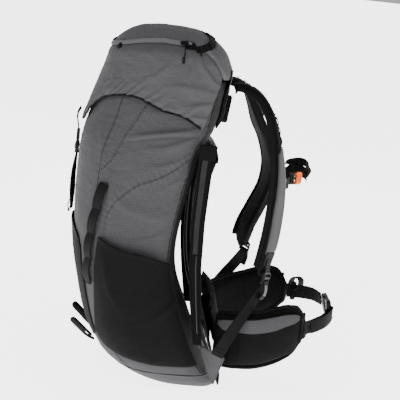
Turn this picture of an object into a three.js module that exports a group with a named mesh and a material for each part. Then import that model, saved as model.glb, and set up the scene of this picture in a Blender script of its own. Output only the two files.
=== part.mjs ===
// A trekking and ski-touring backpack with a suspended mesh back.
// Millimetres, +Z up. The origin is the centre of the flat base it stands on.
// +X points forward, from the pack towards its wearer; +Y is the wearer's left.
import * as THREE from "three";

// ---------- driving dimensions ----------
const FOOT = 22; // the flat base; the whole pack is moved down by this at the end
const HEIGHT = 638; // top of the lid, in the same heights as every other piece
const HALF_WIDTH = 148; // widest half section of the bag
const SHELL = 2.5; // sewn fabric wall with its lining and seam tape
const GAP = 0.5; // clearance between pieces that touch
const RIM_Z = 530; // top edge of the bag's front and side walls
const BACK_RIM_Z = 559; // the back wall runs on up to the lid's seam
const BASE_RIM_Z = 58; // the base panel is sewn to the walls here
const HINGE_X = 37; // the lid turns about its seam with the back wall
const HINGE_Z = 562;
const WEBBING = 20; // standard webbing width
const WEBBING_THICK = 1.8;
const BELT_WEBBING = 25;
const ROD_RADIUS = 3; // sprung steel frame rod in its sleeve
const PAD_THICK = 14; // shoulder pad foam
const BELT_THICK = 16; // hip belt foam
const FRONT_ROUND = 2.6; // superellipse exponents of the front and back of a section
const BACK_ROUND = 4;

// Colours, as linear values from the sewn materials.
const GREY = { color: 0x62616a, roughness: 0.75, metalness: 0 };
const DARK = { color: 0x1e1e1e, roughness: 0.85, metalness: 0 };
const BLACK = { color: 0x161616, roughness: 0.6, metalness: 0 };
const CHARCOAL = { color: 0x454546, roughness: 0.8, metalness: 0 };
const ORANGE = { color: 0xff7028, roughness: 0.4, metalness: 0 };
const STEEL = { color: 0x30302f, roughness: 0.35, metalness: 1 };

// ---------- geometry helpers ----------
const pack = new THREE.Group();
const V = (x, y, z) => new THREE.Vector3(x, y, z);
const deg = (d) => (d * Math.PI) / 180;
const lerp = THREE.MathUtils.lerp;
const range = (n) => Array.from({ length: n + 1 }, (_, i) => i / n);

function signedVolume(points, faces) {
  return faces.reduce((sum, [a, b, c]) => sum + points[a].dot(points[b].clone().cross(points[c])) / 6, 0);
}

// A closed mesh with its faces turned outwards.
function closedGeometry(points, faces) {
  const turned = signedVolume(points, faces) < 0 ? faces.map(([a, b, c]) => [a, c, b]) : faces;
  const geometry = new THREE.BufferGeometry().setFromPoints(points);
  geometry.setIndex(turned.flat());
  geometry.computeVertexNormals();
  return geometry;
}

// A skin over closed rings of equally many points, with a fan over each end.
function loft(rings) {
  const n = rings[0].length;
  const points = rings.flat();
  const faces = [];
  for (let r = 0; r + 1 < rings.length; r++) {
    for (let i = 0; i < n; i++) {
      const [a, b] = [r * n + i, r * n + ((i + 1) % n)];
      faces.push([a, b, b + n], [a, b + n, a + n]);
    }
  }
  for (const [start, turn] of [[0, 1], [(rings.length - 1) * n, 0]]) {
    const centre = rings[start / n].reduce((s, p) => s.add(p), V(0, 0, 0)).divideScalar(n);
    const hub = points.push(centre) - 1;
    for (let i = 0; i < n; i++) {
      const [a, b] = [start + i, start + ((i + 1) % n)];
      faces.push(turn ? [hub, b, a] : [hub, a, b]);
    }
  }
  return closedGeometry(points, faces);
}

// A sheet with two faces, given as grids of points, and a wall round its edge.
function sheetSolid(outer, inner) {
  const rows = outer.length;
  const columns = outer[0].length;
  const points = [...outer.flat(), ...inner.flat()];
  const at = (r, c, side) => side * rows * columns + r * columns + c;
  const faces = [];
  for (let r = 0; r + 1 < rows; r++) {
    for (let c = 0; c + 1 < columns; c++) {
      faces.push([at(r, c, 0), at(r + 1, c, 0), at(r + 1, c + 1, 0)]);
      faces.push([at(r, c, 0), at(r + 1, c + 1, 0), at(r, c + 1, 0)]);
      faces.push([at(r, c, 1), at(r + 1, c + 1, 1), at(r + 1, c, 1)]);
      faces.push([at(r, c, 1), at(r, c + 1, 1), at(r + 1, c + 1, 1)]);
    }
  }
  const edge = [];
  for (let c = 0; c < columns; c++) edge.push([0, c]);
  for (let r = 1; r < rows; r++) edge.push([r, columns - 1]);
  for (let c = columns - 2; c >= 0; c--) edge.push([rows - 1, c]);
  for (let r = rows - 2; r > 0; r--) edge.push([r, 0]);
  edge.forEach(([r, c], i) => {
    const [r2, c2] = edge[(i + 1) % edge.length];
    faces.push([at(r, c, 0), at(r2, c2, 0), at(r2, c2, 1)]);
    faces.push([at(r, c, 0), at(r2, c2, 1), at(r, c, 1)]);
  });
  return closedGeometry(points, faces);
}

// The outward normal of a surface; a wall's is kept level.
function normalOf(surface, u, v, level) {
  const step = 1e-3;
  const du = surface(u + step, v).sub(surface(u - step, v));
  const dv = surface(u, v + step).sub(surface(u, v - step));
  const normal = du.cross(dv);
  if (level) normal.setZ(0);
  return normal.normalize();
}

// The sheet that a surface makes between two offsets along its normal.
function offsetSheet(surface, low, high, rows, columns, level = false) {
  const grid = (offset) =>
    range(rows).map((v) =>
      range(columns).map((u) => {
        const o = typeof offset === "function" ? offset(u, v) : offset;
        return surface(u, v).addScaledVector(normalOf(surface, u, v, level), o);
      }),
    );
  return sheetSolid(grid(high), grid(low));
}

// A rounded section swept along stations {at, across, width, thick}; power 2 is an ellipse.
function sweep(stations, sides, power) {
  const rings = stations.map((s, i) => {
    const before = stations[Math.max(i - 1, 0)].at;
    const after = stations[Math.min(i + 1, stations.length - 1)].at;
    const along = after.clone().sub(before).normalize();
    const normal = along.clone().cross(s.across).normalize();
    const across = normal.clone().cross(along).normalize();
    return Array.from({ length: sides }, (_, k) => {
      const angle = ((k + 0.5) / sides) * 2 * Math.PI;
      const [c, d] = [Math.cos(angle), Math.sin(angle)];
      const [x, y] = [c, d].map((q) => Math.sign(q) * Math.abs(q) ** (2 / power));
      const level = s.at.clone().addScaledVector(across, (x * s.width) / 2);
      return level.addScaledVector(normal, (y * s.thick) / 2);
    });
  });
  return loft(rings);
}

// Stations along a smooth curve through given points; each value list is spread evenly over it.
function stationsAlong(points, acrosses, widths, thicks, count) {
  const curve = new THREE.CatmullRomCurve3(points, false, "centripetal");
  const spread = (values, t) => {
    const s = t * (values.length - 1);
    const i = Math.min(Math.floor(s), values.length - 2);
    return [values[i], values[i + 1], s - i];
  };
  const number = (values, t) => (values.length === 1 ? values[0] : lerp(...spread(values, t)));
  return range(count).map((t) => {
    const [a, b, f] = acrosses.length === 1 ? [acrosses[0], acrosses[0], 0] : spread(acrosses, t);
    const across = a.clone().lerp(b, f).normalize();
    return { at: curve.getPointAt(t), across, width: number(widths, t), thick: number(thicks, t) };
  });
}

// Flat webbing along a smooth curve.
function webbing(points, acrosses, width, count, thick = WEBBING_THICK) {
  return sweep(stationsAlong(points, acrosses, [width * Math.SQRT2], [thick * Math.SQRT2], count), 4, 2);
}

// A block with rounded corners in its own XY plane, centred on the origin.
function roundedBlock(length, width, thick, radius) {
  const [a, b] = [length / 2, width / 2];
  const shape = new THREE.Shape();
  shape.moveTo(-a + radius, -b);
  shape.lineTo(a - radius, -b);
  shape.absarc(a - radius, -b + radius, radius, -Math.PI / 2, 0);
  shape.lineTo(a, b - radius);
  shape.absarc(a - radius, b - radius, radius, 0, Math.PI / 2);
  shape.lineTo(-a + radius, b);
  shape.absarc(-a + radius, b - radius, radius, Math.PI / 2, Math.PI);
  shape.lineTo(-a, -b + radius);
  shape.absarc(-a + radius, -b + radius, radius, Math.PI, 1.5 * Math.PI);
  return { shape, thick };
}

// Cuts rectangular windows, each [x, y, length, width], and extrudes the block.
function extrudeBlock({ shape, thick }, windows = []) {
  for (const [x, y, l, w] of windows) {
    const hole = new THREE.Path();
    hole.moveTo(x - l / 2, y - w / 2);
    hole.lineTo(x - l / 2, y + w / 2);
    hole.lineTo(x + l / 2, y + w / 2);
    hole.lineTo(x + l / 2, y - w / 2);
    hole.closePath();
    shape.holes.push(hole);
  }
  const geometry = new THREE.ExtrudeGeometry(
    shape,
    { depth: thick, bevelEnabled: false, curveSegments: 3 },
  );
  return geometry.translate(0, 0, -thick / 2);
}

// A round cord along a smooth curve.
function cord(points, radius, steps, sides = 8) {
  const path = new THREE.CatmullRomCurve3(points, false, "centripetal");
  const section = new THREE.Shape();
  section.absarc(0, 0, radius, 0, 2 * Math.PI);
  return new THREE.ExtrudeGeometry(
    section,
    { steps, curveSegments: sides / 2, bevelEnabled: false, extrudePath: path },
  );
}

function add(name, geometry, material, parent = pack) {
  const mesh = new THREE.Mesh(geometry, new THREE.MeshStandardMaterial(material));
  mesh.name = name;
  parent.add(mesh);
  return mesh;
}

// Moves a part built in its own XY plane so that its X runs along `along` and its Z along `normal`.
function placed(geometry, at, along, normal) {
  const x = along.clone().normalize();
  const z = normal.clone().addScaledVector(x, -normal.dot(x)).normalize();
  const matrix = new THREE.Matrix4().makeBasis(x, z.clone().cross(x), z).setPosition(at);
  return geometry.applyMatrix4(matrix);
}

// Adds a piece built for the right side (y < 0) and its mirror image on the left.
function addPair(name, geometry, material) {
  const right = add(`${name}_right`, geometry, material);
  right.updateMatrix();
  const left = geometry.clone().applyMatrix4(right.matrix).scale(1, -1, 1);
  if (left.index) {
    const index = left.index.array;
    for (let i = 0; i < index.length; i += 3) [index[i], index[i + 1]] = [index[i + 1], index[i]];
  } else {
    const position = left.attributes.position;
    for (let i = 0; i < position.count; i += 3) {
      const [a, b] = [i, i + 1].map((k) => V(0, 0, 0).fromBufferAttribute(position, k));
      position.setXYZ(i, b.x, b.y, b.z);
      position.setXYZ(i + 1, a.x, a.y, a.z);
    }
  }
  left.computeVertexNormals();
  add(`${name}_left`, left, material);
}

// ---------- the bag's outer surface ----------
// A section is a closed curve at height z, from xf at the front to xb at the back, w wide each way.
const BAG_SECTIONS = [
  // z, xf, xb, w
  [FOOT, -30, 65, 62],
  [FOOT + 5, -52, 69, 84],
  [FOOT + 14, -76, 70, 104],
  [50, -104, 65, 120],
  [74, -136, 46, 136],
  [105, -157, 29, 143],
  [140, -172, 13, 146],
  [200, -188, -12, HALF_WIDTH],
  [260, -200, -25, HALF_WIDTH],
  [330, -206, -19, 147],
  [400, -206, -6, 144],
  [432, -204, -1, 141],
  [455, -200, 9, 138],
  [476, -194, 19, 134],
  [505, -186, 26, 128],
  [RIM_Z, -180, 29, 121],
  [565, -174, 35, 114],
];
const LID_SECTIONS = [
  [450, -210, 30, 146],
  [480, -202, 33, 143],
  [510, -193, 36, 138],
  [545, -182, 38.5, 131],
  [575, -173, 38.5, 124],
  [595, -166, 32, 116],
  [608, -158, 23, 106],
  [618, -149, 13, 94],
  [628, -134, -1, 76],
  [635, -116, -20, 54],
  [HEIGHT, -96, -41, 28],
];

// Catmull-Rom interpolation of a list of equal rows.
function between(rows, s) {
  const i = THREE.MathUtils.clamp(Math.floor(s), 0, rows.length - 2);
  const row = (k) => rows[THREE.MathUtils.clamp(k, 0, rows.length - 1)];
  const f = s - i;
  return row(i).map((_, c) => {
    const [a, b, d, e] = [row(i - 1)[c], row(i)[c], row(i + 1)[c], row(i + 2)[c]];
    return b + 0.5 * f * (d - a + f * (2 * a - 5 * b + 4 * d - e + f * (3 * (b - d) + e - a)));
  });
}

// The place in a list of sections where it reaches a height.
function placeOfHeight(rows, z) {
  let [low, high] = [0, rows.length - 1];
  for (let k = 0; k < 30; k++) {
    const middle = (low + high) / 2;
    if (between(rows, middle)[0] < z) low = middle;
    else high = middle;
  }
  return (low + high) / 2;
}

// The point at an angle round a section: 0 is the back, -90 the right, 180 the front.
function sectionPoint(rows, angle, s) {
  const [z, xf, xb, w] = between(rows, s);
  const middle = lerp(xf, xb, 0.56);
  const [c, d] = [Math.cos(deg(angle)), Math.sin(deg(angle))];
  const power = c >= 0 ? 2 / BACK_ROUND : 2 / FRONT_ROUND;
  const reach = c >= 0 ? xb - middle : middle - xf;
  return V(
    middle + Math.sign(c) * reach * Math.abs(c) ** power,
    w * Math.sign(d) * Math.abs(d) ** power,
    z,
  );
}
const bagPoint = (angle, z) => sectionPoint(BAG_SECTIONS, angle, placeOfHeight(BAG_SECTIONS, z));
const lidPoint = (angle, z) => sectionPoint(LID_SECTIONS, angle, placeOfHeight(LID_SECTIONS, z));
const clamp01 = (t) => THREE.MathUtils.clamp(t, 0, 1);

// A value read from a table of [place, value] pairs, with straight lines between them.
function table(pairs, t) {
  const found = pairs.findIndex(([place]) => place >= t);
  const i = found < 0 ? pairs.length - 1 : Math.max(found, 1);
  const [[t0, a], [t1, b]] = [pairs[i - 1], pairs[i]];
  return lerp(a, b, clamp01((t - t0) / (t1 - t0)));
}

// A sheet on the bag over a range of angles, with its bottom and top edges given across it.
function onBag(from, to, bottom, top) {
  return (u, v) => bagPoint(lerp(from, to, u), lerp(bottom(u), top(u), v));
}

// ---------- bag body ----------
const BACK_EDGE = 50; // angles where the wall panels are sewn together
const FRONT_EDGE = 125;
const SEAM = 0.25; // degrees left open at each seam
const level = (z) => () => z;

const RINGS = 36;
const ring = (s, inset) =>
  Array.from({ length: RINGS }, (_, k) => {
    const p = sectionPoint(BAG_SECTIONS, (k / RINGS) * 360, s);
    return p.addScaledVector(V(-30 - p.x, -p.y, 0).normalize(), inset);
  });

function basePanel() {
  const steps = [0, 1, 2, placeOfHeight(BAG_SECTIONS, BASE_RIM_Z)];
  const outer = steps.map((s) => ring(s, 0));
  const inner = steps.map((s) => ring(s, SHELL + 1).map((p) => p.setZ(Math.max(p.z, FOOT + SHELL))));
  return loft([...outer, ...inner.reverse()]);
}
add("base_panel", basePanel(), GREY);

// The walls share these heights, so that their seams meet.
const WALL_ROWS = [BASE_RIM_Z + GAP, 68, 84, 110, 145, 190, 240, 300, 370, 420, 460, 497, RIM_Z];
function wall(from, to, rows, columns) {
  const last = rows.length - 1;
  const surface = (u, v) => {
    const i = THREE.MathUtils.clamp(Math.floor(v * last), 0, last - 1);
    return bagPoint(lerp(from, to, u), lerp(rows[i], rows[i + 1], v * last - i));
  };
  return offsetSheet(surface, -SHELL, 0, last, columns, true);
}
add("front_panel", wall(FRONT_EDGE + SEAM, 360 - FRONT_EDGE - SEAM, WALL_ROWS, 10), GREY);
addPair("side_panel", wall(-FRONT_EDGE + SEAM, -BACK_EDGE - SEAM, WALL_ROWS, 7), GREY);
add("back_panel", wall(-BACK_EDGE + SEAM, BACK_EDGE - SEAM, [...WALL_ROWS, BACK_RIM_Z], 8), CHARCOAL);

// Rings that close on themselves both ways, as a tube with a wall does.
function closedTube(rings) {
  const n = rings[0].length;
  const faces = [];
  for (let r = 0; r < rings.length; r++) {
    const next = (r + 1) % rings.length;
    for (let i = 0; i < n; i++) {
      const j = (i + 1) % n;
      faces.push([r * n + i, r * n + j, next * n + j], [r * n + i, next * n + j, next * n + i]);
    }
  }
  return closedGeometry(rings.flat(), faces);
}

// The collar stands inside the walls and draws in under the lid.
const COLLAR_TOP = 556;
const MOUTH = V(-80, 0, 0);
function collarRing(z, pull, inset) {
  return Array.from({ length: 28 }, (_, k) => {
    const p = bagPoint((k / 28) * 360, Math.min(z, RIM_Z));
    const towards = V(MOUTH.x - p.x, -p.y, 0);
    return p.addScaledVector(towards, pull).addScaledVector(towards.normalize(), inset).setZ(z);
  });
}
const COLLAR = [[505, 0.01], [526, 0.05], [537, 0.21], [548, 0.36], [COLLAR_TOP, 0.48]];
const collarOuter = COLLAR.map(([z, pull]) => collarRing(z, pull, 5));
const collarInner = COLLAR.map(([z, pull]) => collarRing(z, pull, 6.6));
add("top_collar", closedTube([...collarOuter, ...collarInner.reverse()]), CHARCOAL);

// A round cord along a closed level path, given by its points.
function cordLoop(path, radius) {
  return closedTube(
    path.map((p, i) => {
      const q = path[(i + 1) % path.length].clone().sub(path.at(i - 1)).normalize();
      const out = V(q.y, -q.x, 0);
      return Array.from({ length: 6 }, (_, k) => {
        const a = (k / 6) * 2 * Math.PI;
        return p.clone().addScaledVector(out, radius * Math.cos(a)).setZ(p.z + radius * Math.sin(a));
      });
    }),
  );
}
add("collar_drawcord", cordLoop(collarRing(559.5, 0.48, 5.8), 1.5), BLACK);
const LOCK = V(-164.5, 0, 546);
const upright = (radius, length) => new THREE.CylinderGeometry(radius, radius, length, 12).rotateX(Math.PI / 2);
const barrel = upright(6.3, 15).translate(LOCK.x, LOCK.y, LOCK.z);
add("cord_lock_body", barrel, BLACK);
const button = upright(4.8, 5).translate(LOCK.x, LOCK.y, LOCK.z + 14);
add("cord_lock_button", button, BLACK);

// ---------- pockets, webbing and trim on the bag ----------
const POCKET_BACK = -50;
const POCKET_FOOT = [[50, 78], [66, 77], [93, 76], [118, 84], [139, 98], [145, 125]]; // angle, height
const pocketFront = (v) => lerp(-143.5, -117.6, clamp01(v) ** 0.7);
const pocketBottom = (u) => table(POCKET_FOOT, -lerp(-143.5, POCKET_BACK, u));
const pocketTop = (u) => 248 + 38 * (1 - u) ** 1.3;
const bulge = (u, v) => Math.sin(Math.PI * clamp01(u)) ** 0.7 * clamp01(v) ** 0.5;
const pocketStand = (u, v) => 1 + 15 * bulge(u, v);
const pocketSurface = (u, v) => {
  const z = lerp(pocketBottom(clamp01(u)), pocketTop(clamp01(u)), v);
  return bagPoint(lerp(pocketFront(v), POCKET_BACK, u), z);
};
addPair(
  "side_pocket",
  offsetSheet(pocketSurface, pocketStand, (u, v) => pocketStand(u, v) + 1.6, 6, 9, true),
  DARK,
);

// The stretch pocket on the front.
const frontStand = (u, v) => 1 + 2.5 * bulge(u, v);
const frontSurface = onBag(145, 215, (u) => 92 + 22 * (2 * u - 1) ** 2, (u) => 292 - 30 * (2 * u - 1) ** 2);
add(
  "front_pocket",
  offsetSheet(frontSurface, frontStand, (u, v) => frontStand(u, v) + 1.6, 7, 8, true),
  CHARCOAL,
);

// Daisy chain: webbing tacked down between loops that stand off.
const DAISY_LOOPS = 4;
const DAISY_TOP = 377;
const DAISY_FOOT = 204;
function daisyChain() {
  const stations = range(DAISY_LOOPS * 5).map((t) => {
    const angle = lerp(-117, -135, t);
    const surface = (u, v) => bagPoint(angle + u, v);
    const z = lerp(DAISY_TOP, DAISY_FOOT, t);
    const out = normalOf(surface, 0, z, true);
    const lift = 2.4 + 5 * Math.abs(Math.sin(Math.PI * DAISY_LOOPS * t)) ** 0.8;
    const across = V(-out.y, out.x, 0);
    const at = surface(0, z).addScaledVector(out, lift);
    return { at, across, width: 18 * Math.SQRT2, thick: WEBBING_THICK };
  });
  return sweep(stations, 4, 2);
}
addPair("daisy_chain", daisyChain(), BLACK);

// Loops at the foot of the front, for an axe or a pole.
const LOOP_UP = [
  V(-151, -38, 84),
  V(-162, -41, 90),
  V(-177, -45, 103),
  V(-191, -47, 117),
  V(-188, -50, 121),
  V(-173, -48, 109),
  V(-155, -44, 92),
];
addPair("pole_loop", cord(LOOP_UP, 2.2, 14, 6), BLACK);

// ---------- suspended back ----------
const FRAME_HALF = [
  V(24, -60, 444),
  V(20, -100, 443),
  V(13, -120, 434),
  V(6, -129, 405),
  V(2, -132, 330),
  V(4, -131, 250),
  V(14, -128, 185),
  V(36, -112, 124),
  V(50, -91, 92),
  V(56, -60, 84),
];
const FRAME_PATH = [...FRAME_HALF, ...FRAME_HALF.map((p) => V(p.x, -p.y, p.z)).reverse()];
function frameWire() {
  const curve = new THREE.CatmullRomCurve3(FRAME_PATH, true, "centripetal");
  const count = 36;
  const centre = V(20, 0, 255);
  return closedTube(
    Array.from({ length: count }, (_, i) => {
      const at = curve.getPointAt(i / count);
      const along = curve.getTangentAt(i / count);
      const side = along.clone().cross(at.clone().sub(centre)).normalize();
      const out = side.clone().cross(along);
      return Array.from({ length: 6 }, (_, k) => {
        const a = (k / 6) * 2 * Math.PI;
        const corner = at.clone().addScaledVector(out, ROD_RADIUS * Math.cos(a));
        return corner.addScaledVector(side, ROD_RADIUS * Math.sin(a));
      });
    }),
  );
}
add("frame_wire", frameWire(), STEEL);

// The tensioned mesh runs between the frame's sides; the bag's back bows away behind it.
const meshSurface = (u, v) => {
  const z = lerp(120, 432, v);
  const x = table([[120, 45], [180, 24], [250, 12], [330, 9], [400, 15], [432, 23]], z);
  return V(
    x + 5 * Math.sin(Math.PI * clamp01(u)),
    lerp(-1, 1, u) * table([[120, 100], [180, 120], [432, 124]], z),
    z,
  );
};
add("back_mesh", offsetSheet(meshSurface, -1, 1, 8, 6), CHARCOAL);
// A band covers each side of the frame and ends in a cap pocket over its top corner.
const bandSurface = (u, v) => {
  const z = lerp(118, 458, v);
  const x = table([[118, 17], [196, 3], [250, -4], [330, -8], [424, -7], [458, -5]], z);
  return V(x + u * table([[118, 13], [200, 18], [300, 20], [458, 23]], z), -137.5, z);
};
addPair("side_band", offsetSheet(bandSurface, -1.2, 1.2, 10, 1), BLACK);

// Yoke, haul loop and lumbar pad.
const roundEdge = (t, power) => (1 - Math.abs(2 * clamp01(t) - 1) ** power) ** 0.5;
const yokeSurface = (u, v) => bagPoint(lerp(-24, 24, u), lerp(482, 552, v));
const yokeDepth = (u, v) => 3 + 5 * roundEdge(u, 6) * roundEdge(v, 6);
add("harness_yoke", offsetSheet(yokeSurface, 1, yokeDepth, 6, 8, true), BLACK);
const HAUL = [
  V(44, -10, 529),
  V(42, -12, 510),
  V(40, -9, 490),
  V(39.5, 0, 483),
  V(40, 9, 490),
  V(42, 12, 510),
  V(44, 10, 529),
];
add("haul_loop", webbing(HAUL, [V(1, 0, 0)], 9, 14), BLACK);
const lumbarSurface = (u, v) => {
  const z = lerp(96, 200, v);
  return V(
    table([[96, 61], [120, 53], [160, 41], [200, 34]], z) + 3 * Math.cos(Math.PI * (u - 0.5)),
    lerp(-92, 92, u),
    z,
  );
};
const lumbarDepth = (u, v) => 2 + 12 * roundEdge(u, 6) * roundEdge(v, 4);
add("lumbar_pad", offsetSheet(lumbarSurface, 1, lumbarDepth, 8, 10), DARK);

// Bottom of the back: stabiliser wings and the wear foot.
const WING_CORNERS = [V(30, -131, 114), V(46, -122, 70), V(69, -158, 106), V(60, -112, 42)];
const stabiliser = (u, v) => {
  const rear = WING_CORNERS[3].clone().lerp(WING_CORNERS[2], v);
  return WING_CORNERS[0].clone().lerp(WING_CORNERS[1], 1 - v).lerp(rear, u);
};
addPair("stabiliser_wing", offsetSheet(stabiliser, -1, 1, 2, 2), GREY);
const footSurface = (u, v) => V(lerp(75.5, 74.5, v), lerp(-58, 58, u), lerp(FOOT + 1.5, FOOT + 24, v));
add("wear_foot", offsetSheet(footSurface, -3, 3, 3, 6), BLACK);

// ---------- lid ----------
const HEM = [
  [52, 477],
  [70, 483],
  [87, 501],
  [97, 514],
  [110, 525],
  [126, 525],
  [145, 516],
  [158, 503],
  [170, 476],
  [180, 462],
];
const LID_SEAM = [
  [50, HINGE_Z + 1.5],
  [56, 574],
  [63, 590],
  [72, 604],
  [84, 614],
  [100, 616],
  [120, 612],
  [150, 603],
  [180, 598],
];
const fromBack = (angle) => 180 - Math.abs(180 - (((angle % 360) + 360) % 360));
const hemHeight = (angle) => table(HEM, fromBack(angle));
const lidSeam = (angle) => table(LID_SEAM, fromBack(angle));
const LID_WALL = 2.2;
const skirtSurface = (u, v) => {
  const start = lerp(68, 53, v);
  const angle = lerp(start, 360 - start, u);
  return lidPoint(angle, lerp(hemHeight(angle), lidSeam(angle) - 1.8, v));
};
add("lid_side_panel", offsetSheet(skirtSurface, -LID_WALL, 0, 6, 36, true), GREY);

// The top panel is a dome from the zip seam up, carried down the back to the hinge.
function lidTop() {
  const count = 36;
  const shell = (inset) =>
    [0, 0.3, 0.6, 0.85, 1].map((v) =>
      Array.from({ length: count }, (_, k) => {
        const angle = (k / count) * 360;
        const z0 = Math.max(lidSeam(angle), HINGE_Z + 1.5);
        const p = lidPoint(angle, lerp(z0, HEIGHT, v));
        const towards = V(-70 - p.x, -p.y, lerp(0, -90, v)).normalize();
        return p.addScaledVector(towards, inset);
      }),
    );
  return loft([...shell(0).reverse(), ...shell(LID_WALL)]);
}
add("lid_top_panel", lidTop(), GREY);
const undersideRing = (z, inset) =>
  Array.from({ length: 28 }, (_, k) => {
    const p = lidPoint((k / 28) * 360, 566);
    return p.addScaledVector(V(-70 - p.x, -p.y, 0).normalize(), inset).setZ(z);
  });
add("lid_underside", loft([undersideRing(566, 4.5), undersideRing(568, 4.5)]), CHARCOAL);

// Lid zip slider with its pull; it runs along the top of the right-hand seam.
const SLIDER_AT = V(-50, -108, 617);
function zipSlider(length, width, pull) {
  const outline = roundedBlock(length, width, 3, 1.5);
  const body = extrudeBlock(outline);
  return body.translate(0, 0, 0).scale(1, 1, pull);
}
add("lid_zip_slider", placed(zipSlider(14, 8, 1), SLIDER_AT, V(1, 0, -0.03), V(0, -0.75, 0.66)), BLACK);

// Webbing patch over the lid's rear corner, with the pull cord below it.
const patchSurface = (u, v) => lidPoint(lerp(-84, -22, u), lerp(607, 629, u) + (v - 0.5) * 9);
add("lid_corner_patch", offsetSheet(patchSurface, 3.4, 5.2, 7, 2), BLACK);

// ---------- lid strap ----------
add(
  "lid_strap",
  webbing([V(-212.5, 0, 474), V(-213, 0, 463), V(-210.5, 0, 450)], [V(0, 1, 0)], WEBBING, 3),
  BLACK,
);
const buckleAt = (z) => V(-210 + (436 - z) * 0.03, 0, z);
const UP = V(0, 0, 1);
const FRONT = V(-1, 0, 0);
const lidClip = extrudeBlock(roundedBlock(24, 26, 4.5, 3), [[5.5, 0, 4, 21]]);
add("lid_clip", placed(lidClip, buckleAt(436), UP, FRONT), BLACK);
const catchBlock = extrudeBlock(roundedBlock(20, 30, 6, 3), [[-5, 0, 4, 21]]);
add("lid_catch", placed(catchBlock, buckleAt(413), UP, FRONT), BLACK);
const TAIL = [V(-209, 0, 401), V(-210.5, 0, 385), V(-211.5, 0, 362), V(-211, 0, 332), V(-210, 0, 306)];
add("lid_catch_webbing", webbing(TAIL, [V(0, 1, 0)], WEBBING, 10), BLACK);

// ---------- shoulder harness ----------
// A strap is a path of stations; `across` points from the neck edge to the arm edge.
const RIGHT_PATH = [
  V(45, -50, 546),
  V(53, -51, 550.5),
  V(66, -57, 549.5),
  V(87, -67, 538),
  V(106, -79, 512),
  V(118, -92, 477),
  V(126, -103, 440),
  V(131, -111, 395),
  V(131, -116, 350),
  V(127, -120, 300),
  V(115, -124, 243),
];
const LEFT_PATH = [
  V(45, 50, 545),
  V(53, 51, 548.5),
  V(66, 57, 547),
  V(84, 66, 533),
  V(98, 75, 508),
  V(112, 86, 478),
  V(130, 95, 447),
  V(144, 104, 405),
  V(143, 111, 362),
  V(128, 117, 316),
  V(112, 121, 272),
  V(107, 124, 237),
];
const TURNS = [0, 0, 8, 16, 24, 30, 32]; // degrees that the face turns outwards down the strap
const LEFT_TURNS = [0, 0, 8, 12, 14, 22, 30];
const STRAP_WIDTH = [54, 62, 67, 66, 62, 58, 52, 38];
function strapStationsOf(path, turns) {
  const side = Math.sign(path[0].y);
  const acrosses = turns.map((a) => V(-Math.sin(deg(a)), side * Math.cos(deg(a)), 0));
  return stationsAlong(path, acrosses, STRAP_WIDTH, [12, PAD_THICK, PAD_THICK, 12], 16);
}

// A strap's place at a fraction of its length, a height above its outer face.
function onStrap(stations, t, height) {
  const s = t * (stations.length - 1);
  const i = THREE.MathUtils.clamp(Math.floor(s), 0, stations.length - 2);
  const [a, b] = [stations[i], stations[i + 1]];
  const along = b.at.clone().sub(a.at).normalize();
  const across = a.across.clone().lerp(b.across, s - i).normalize();
  const out = across.clone().cross(along).multiplyScalar(-Math.sign(a.at.y)).normalize();
  const depth = lerp(a.thick, b.thick, s - i) / 2 + height;
  return { at: a.at.clone().lerp(b.at, s - i).addScaledVector(out, depth), across, along, out };
}
const OVERLAY = [0.398, 0.88];
const STERNUM_T = 0.573;
const BOTTOM_WEBBING = [V(105, -147, 199), V(87, -157, 170), V(66, -164, 133), V(56, -160.5, 109)];
const sternumEdges = {};
for (const [name, path, turns] of [["right", RIGHT_PATH, TURNS], ["left", LEFT_PATH, LEFT_TURNS]]) {
  const side = name === "right" ? -1 : 1;
  const stations = strapStationsOf(path, turns);
  add(`shoulder_pad_${name}`, sweep(stations, 8, 3.2), DARK);
  const overlay = range(10).map((t) => {
    const f = lerp(...OVERLAY, t);
    return { ...onStrap(stations, f, 1.6), width: lerp(40, 26, t) * Math.SQRT2, thick: 1.4 };
  });
  add(`strap_overlay_${name}`, sweep(overlay, 4, 2), GREY);

  // The ladder lock at the strap's end, and the webbing down to the stabiliser wing.
  const end = onStrap(stations, 1, -PAD_THICK / 2 + 1);
  const lockAt = end.at.clone().addScaledVector(end.along, -2).addScaledVector(end.out, 13);
  const ladderLock = extrudeBlock(roundedBlock(20, 28, 5, 3), [[-4.5, 0.3, 5, 21.4], [4.5, -0.2, 5, 22]]);
  add(`ladder_lock_${name}`, placed(ladderLock, lockAt, end.along, end.out), BLACK);
  const under = lockAt.clone().addScaledVector(end.along, 16);
  const lower = [under, ...BOTTOM_WEBBING.map((p) => V(p.x, -side * p.y, p.z))];
  const acrosses = [end.across.clone(), V(-0.9, side * 0.4, 0.3), V(-0.92, 0, 0.38)];
  add(`lower_webbing_${name}`, webbing(lower, acrosses, WEBBING, 12), BLACK);

  // The sternum strap's slider runs on a rail along the neck edge.
  const edge = onStrap(stations, STERNUM_T, -PAD_THICK / 2);
  const slider = edge.at.clone().addScaledVector(edge.across, -38);
  sternumEdges[name] = slider;
  const turned = edge.across.clone().negate();
  const sliderBlock = extrudeBlock(roundedBlock(24, 12, 8, 3));
  add(`sternum_slider_${name}`, placed(sliderBlock, slider, V(0, 0, 1), turned), BLACK);
}

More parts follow.
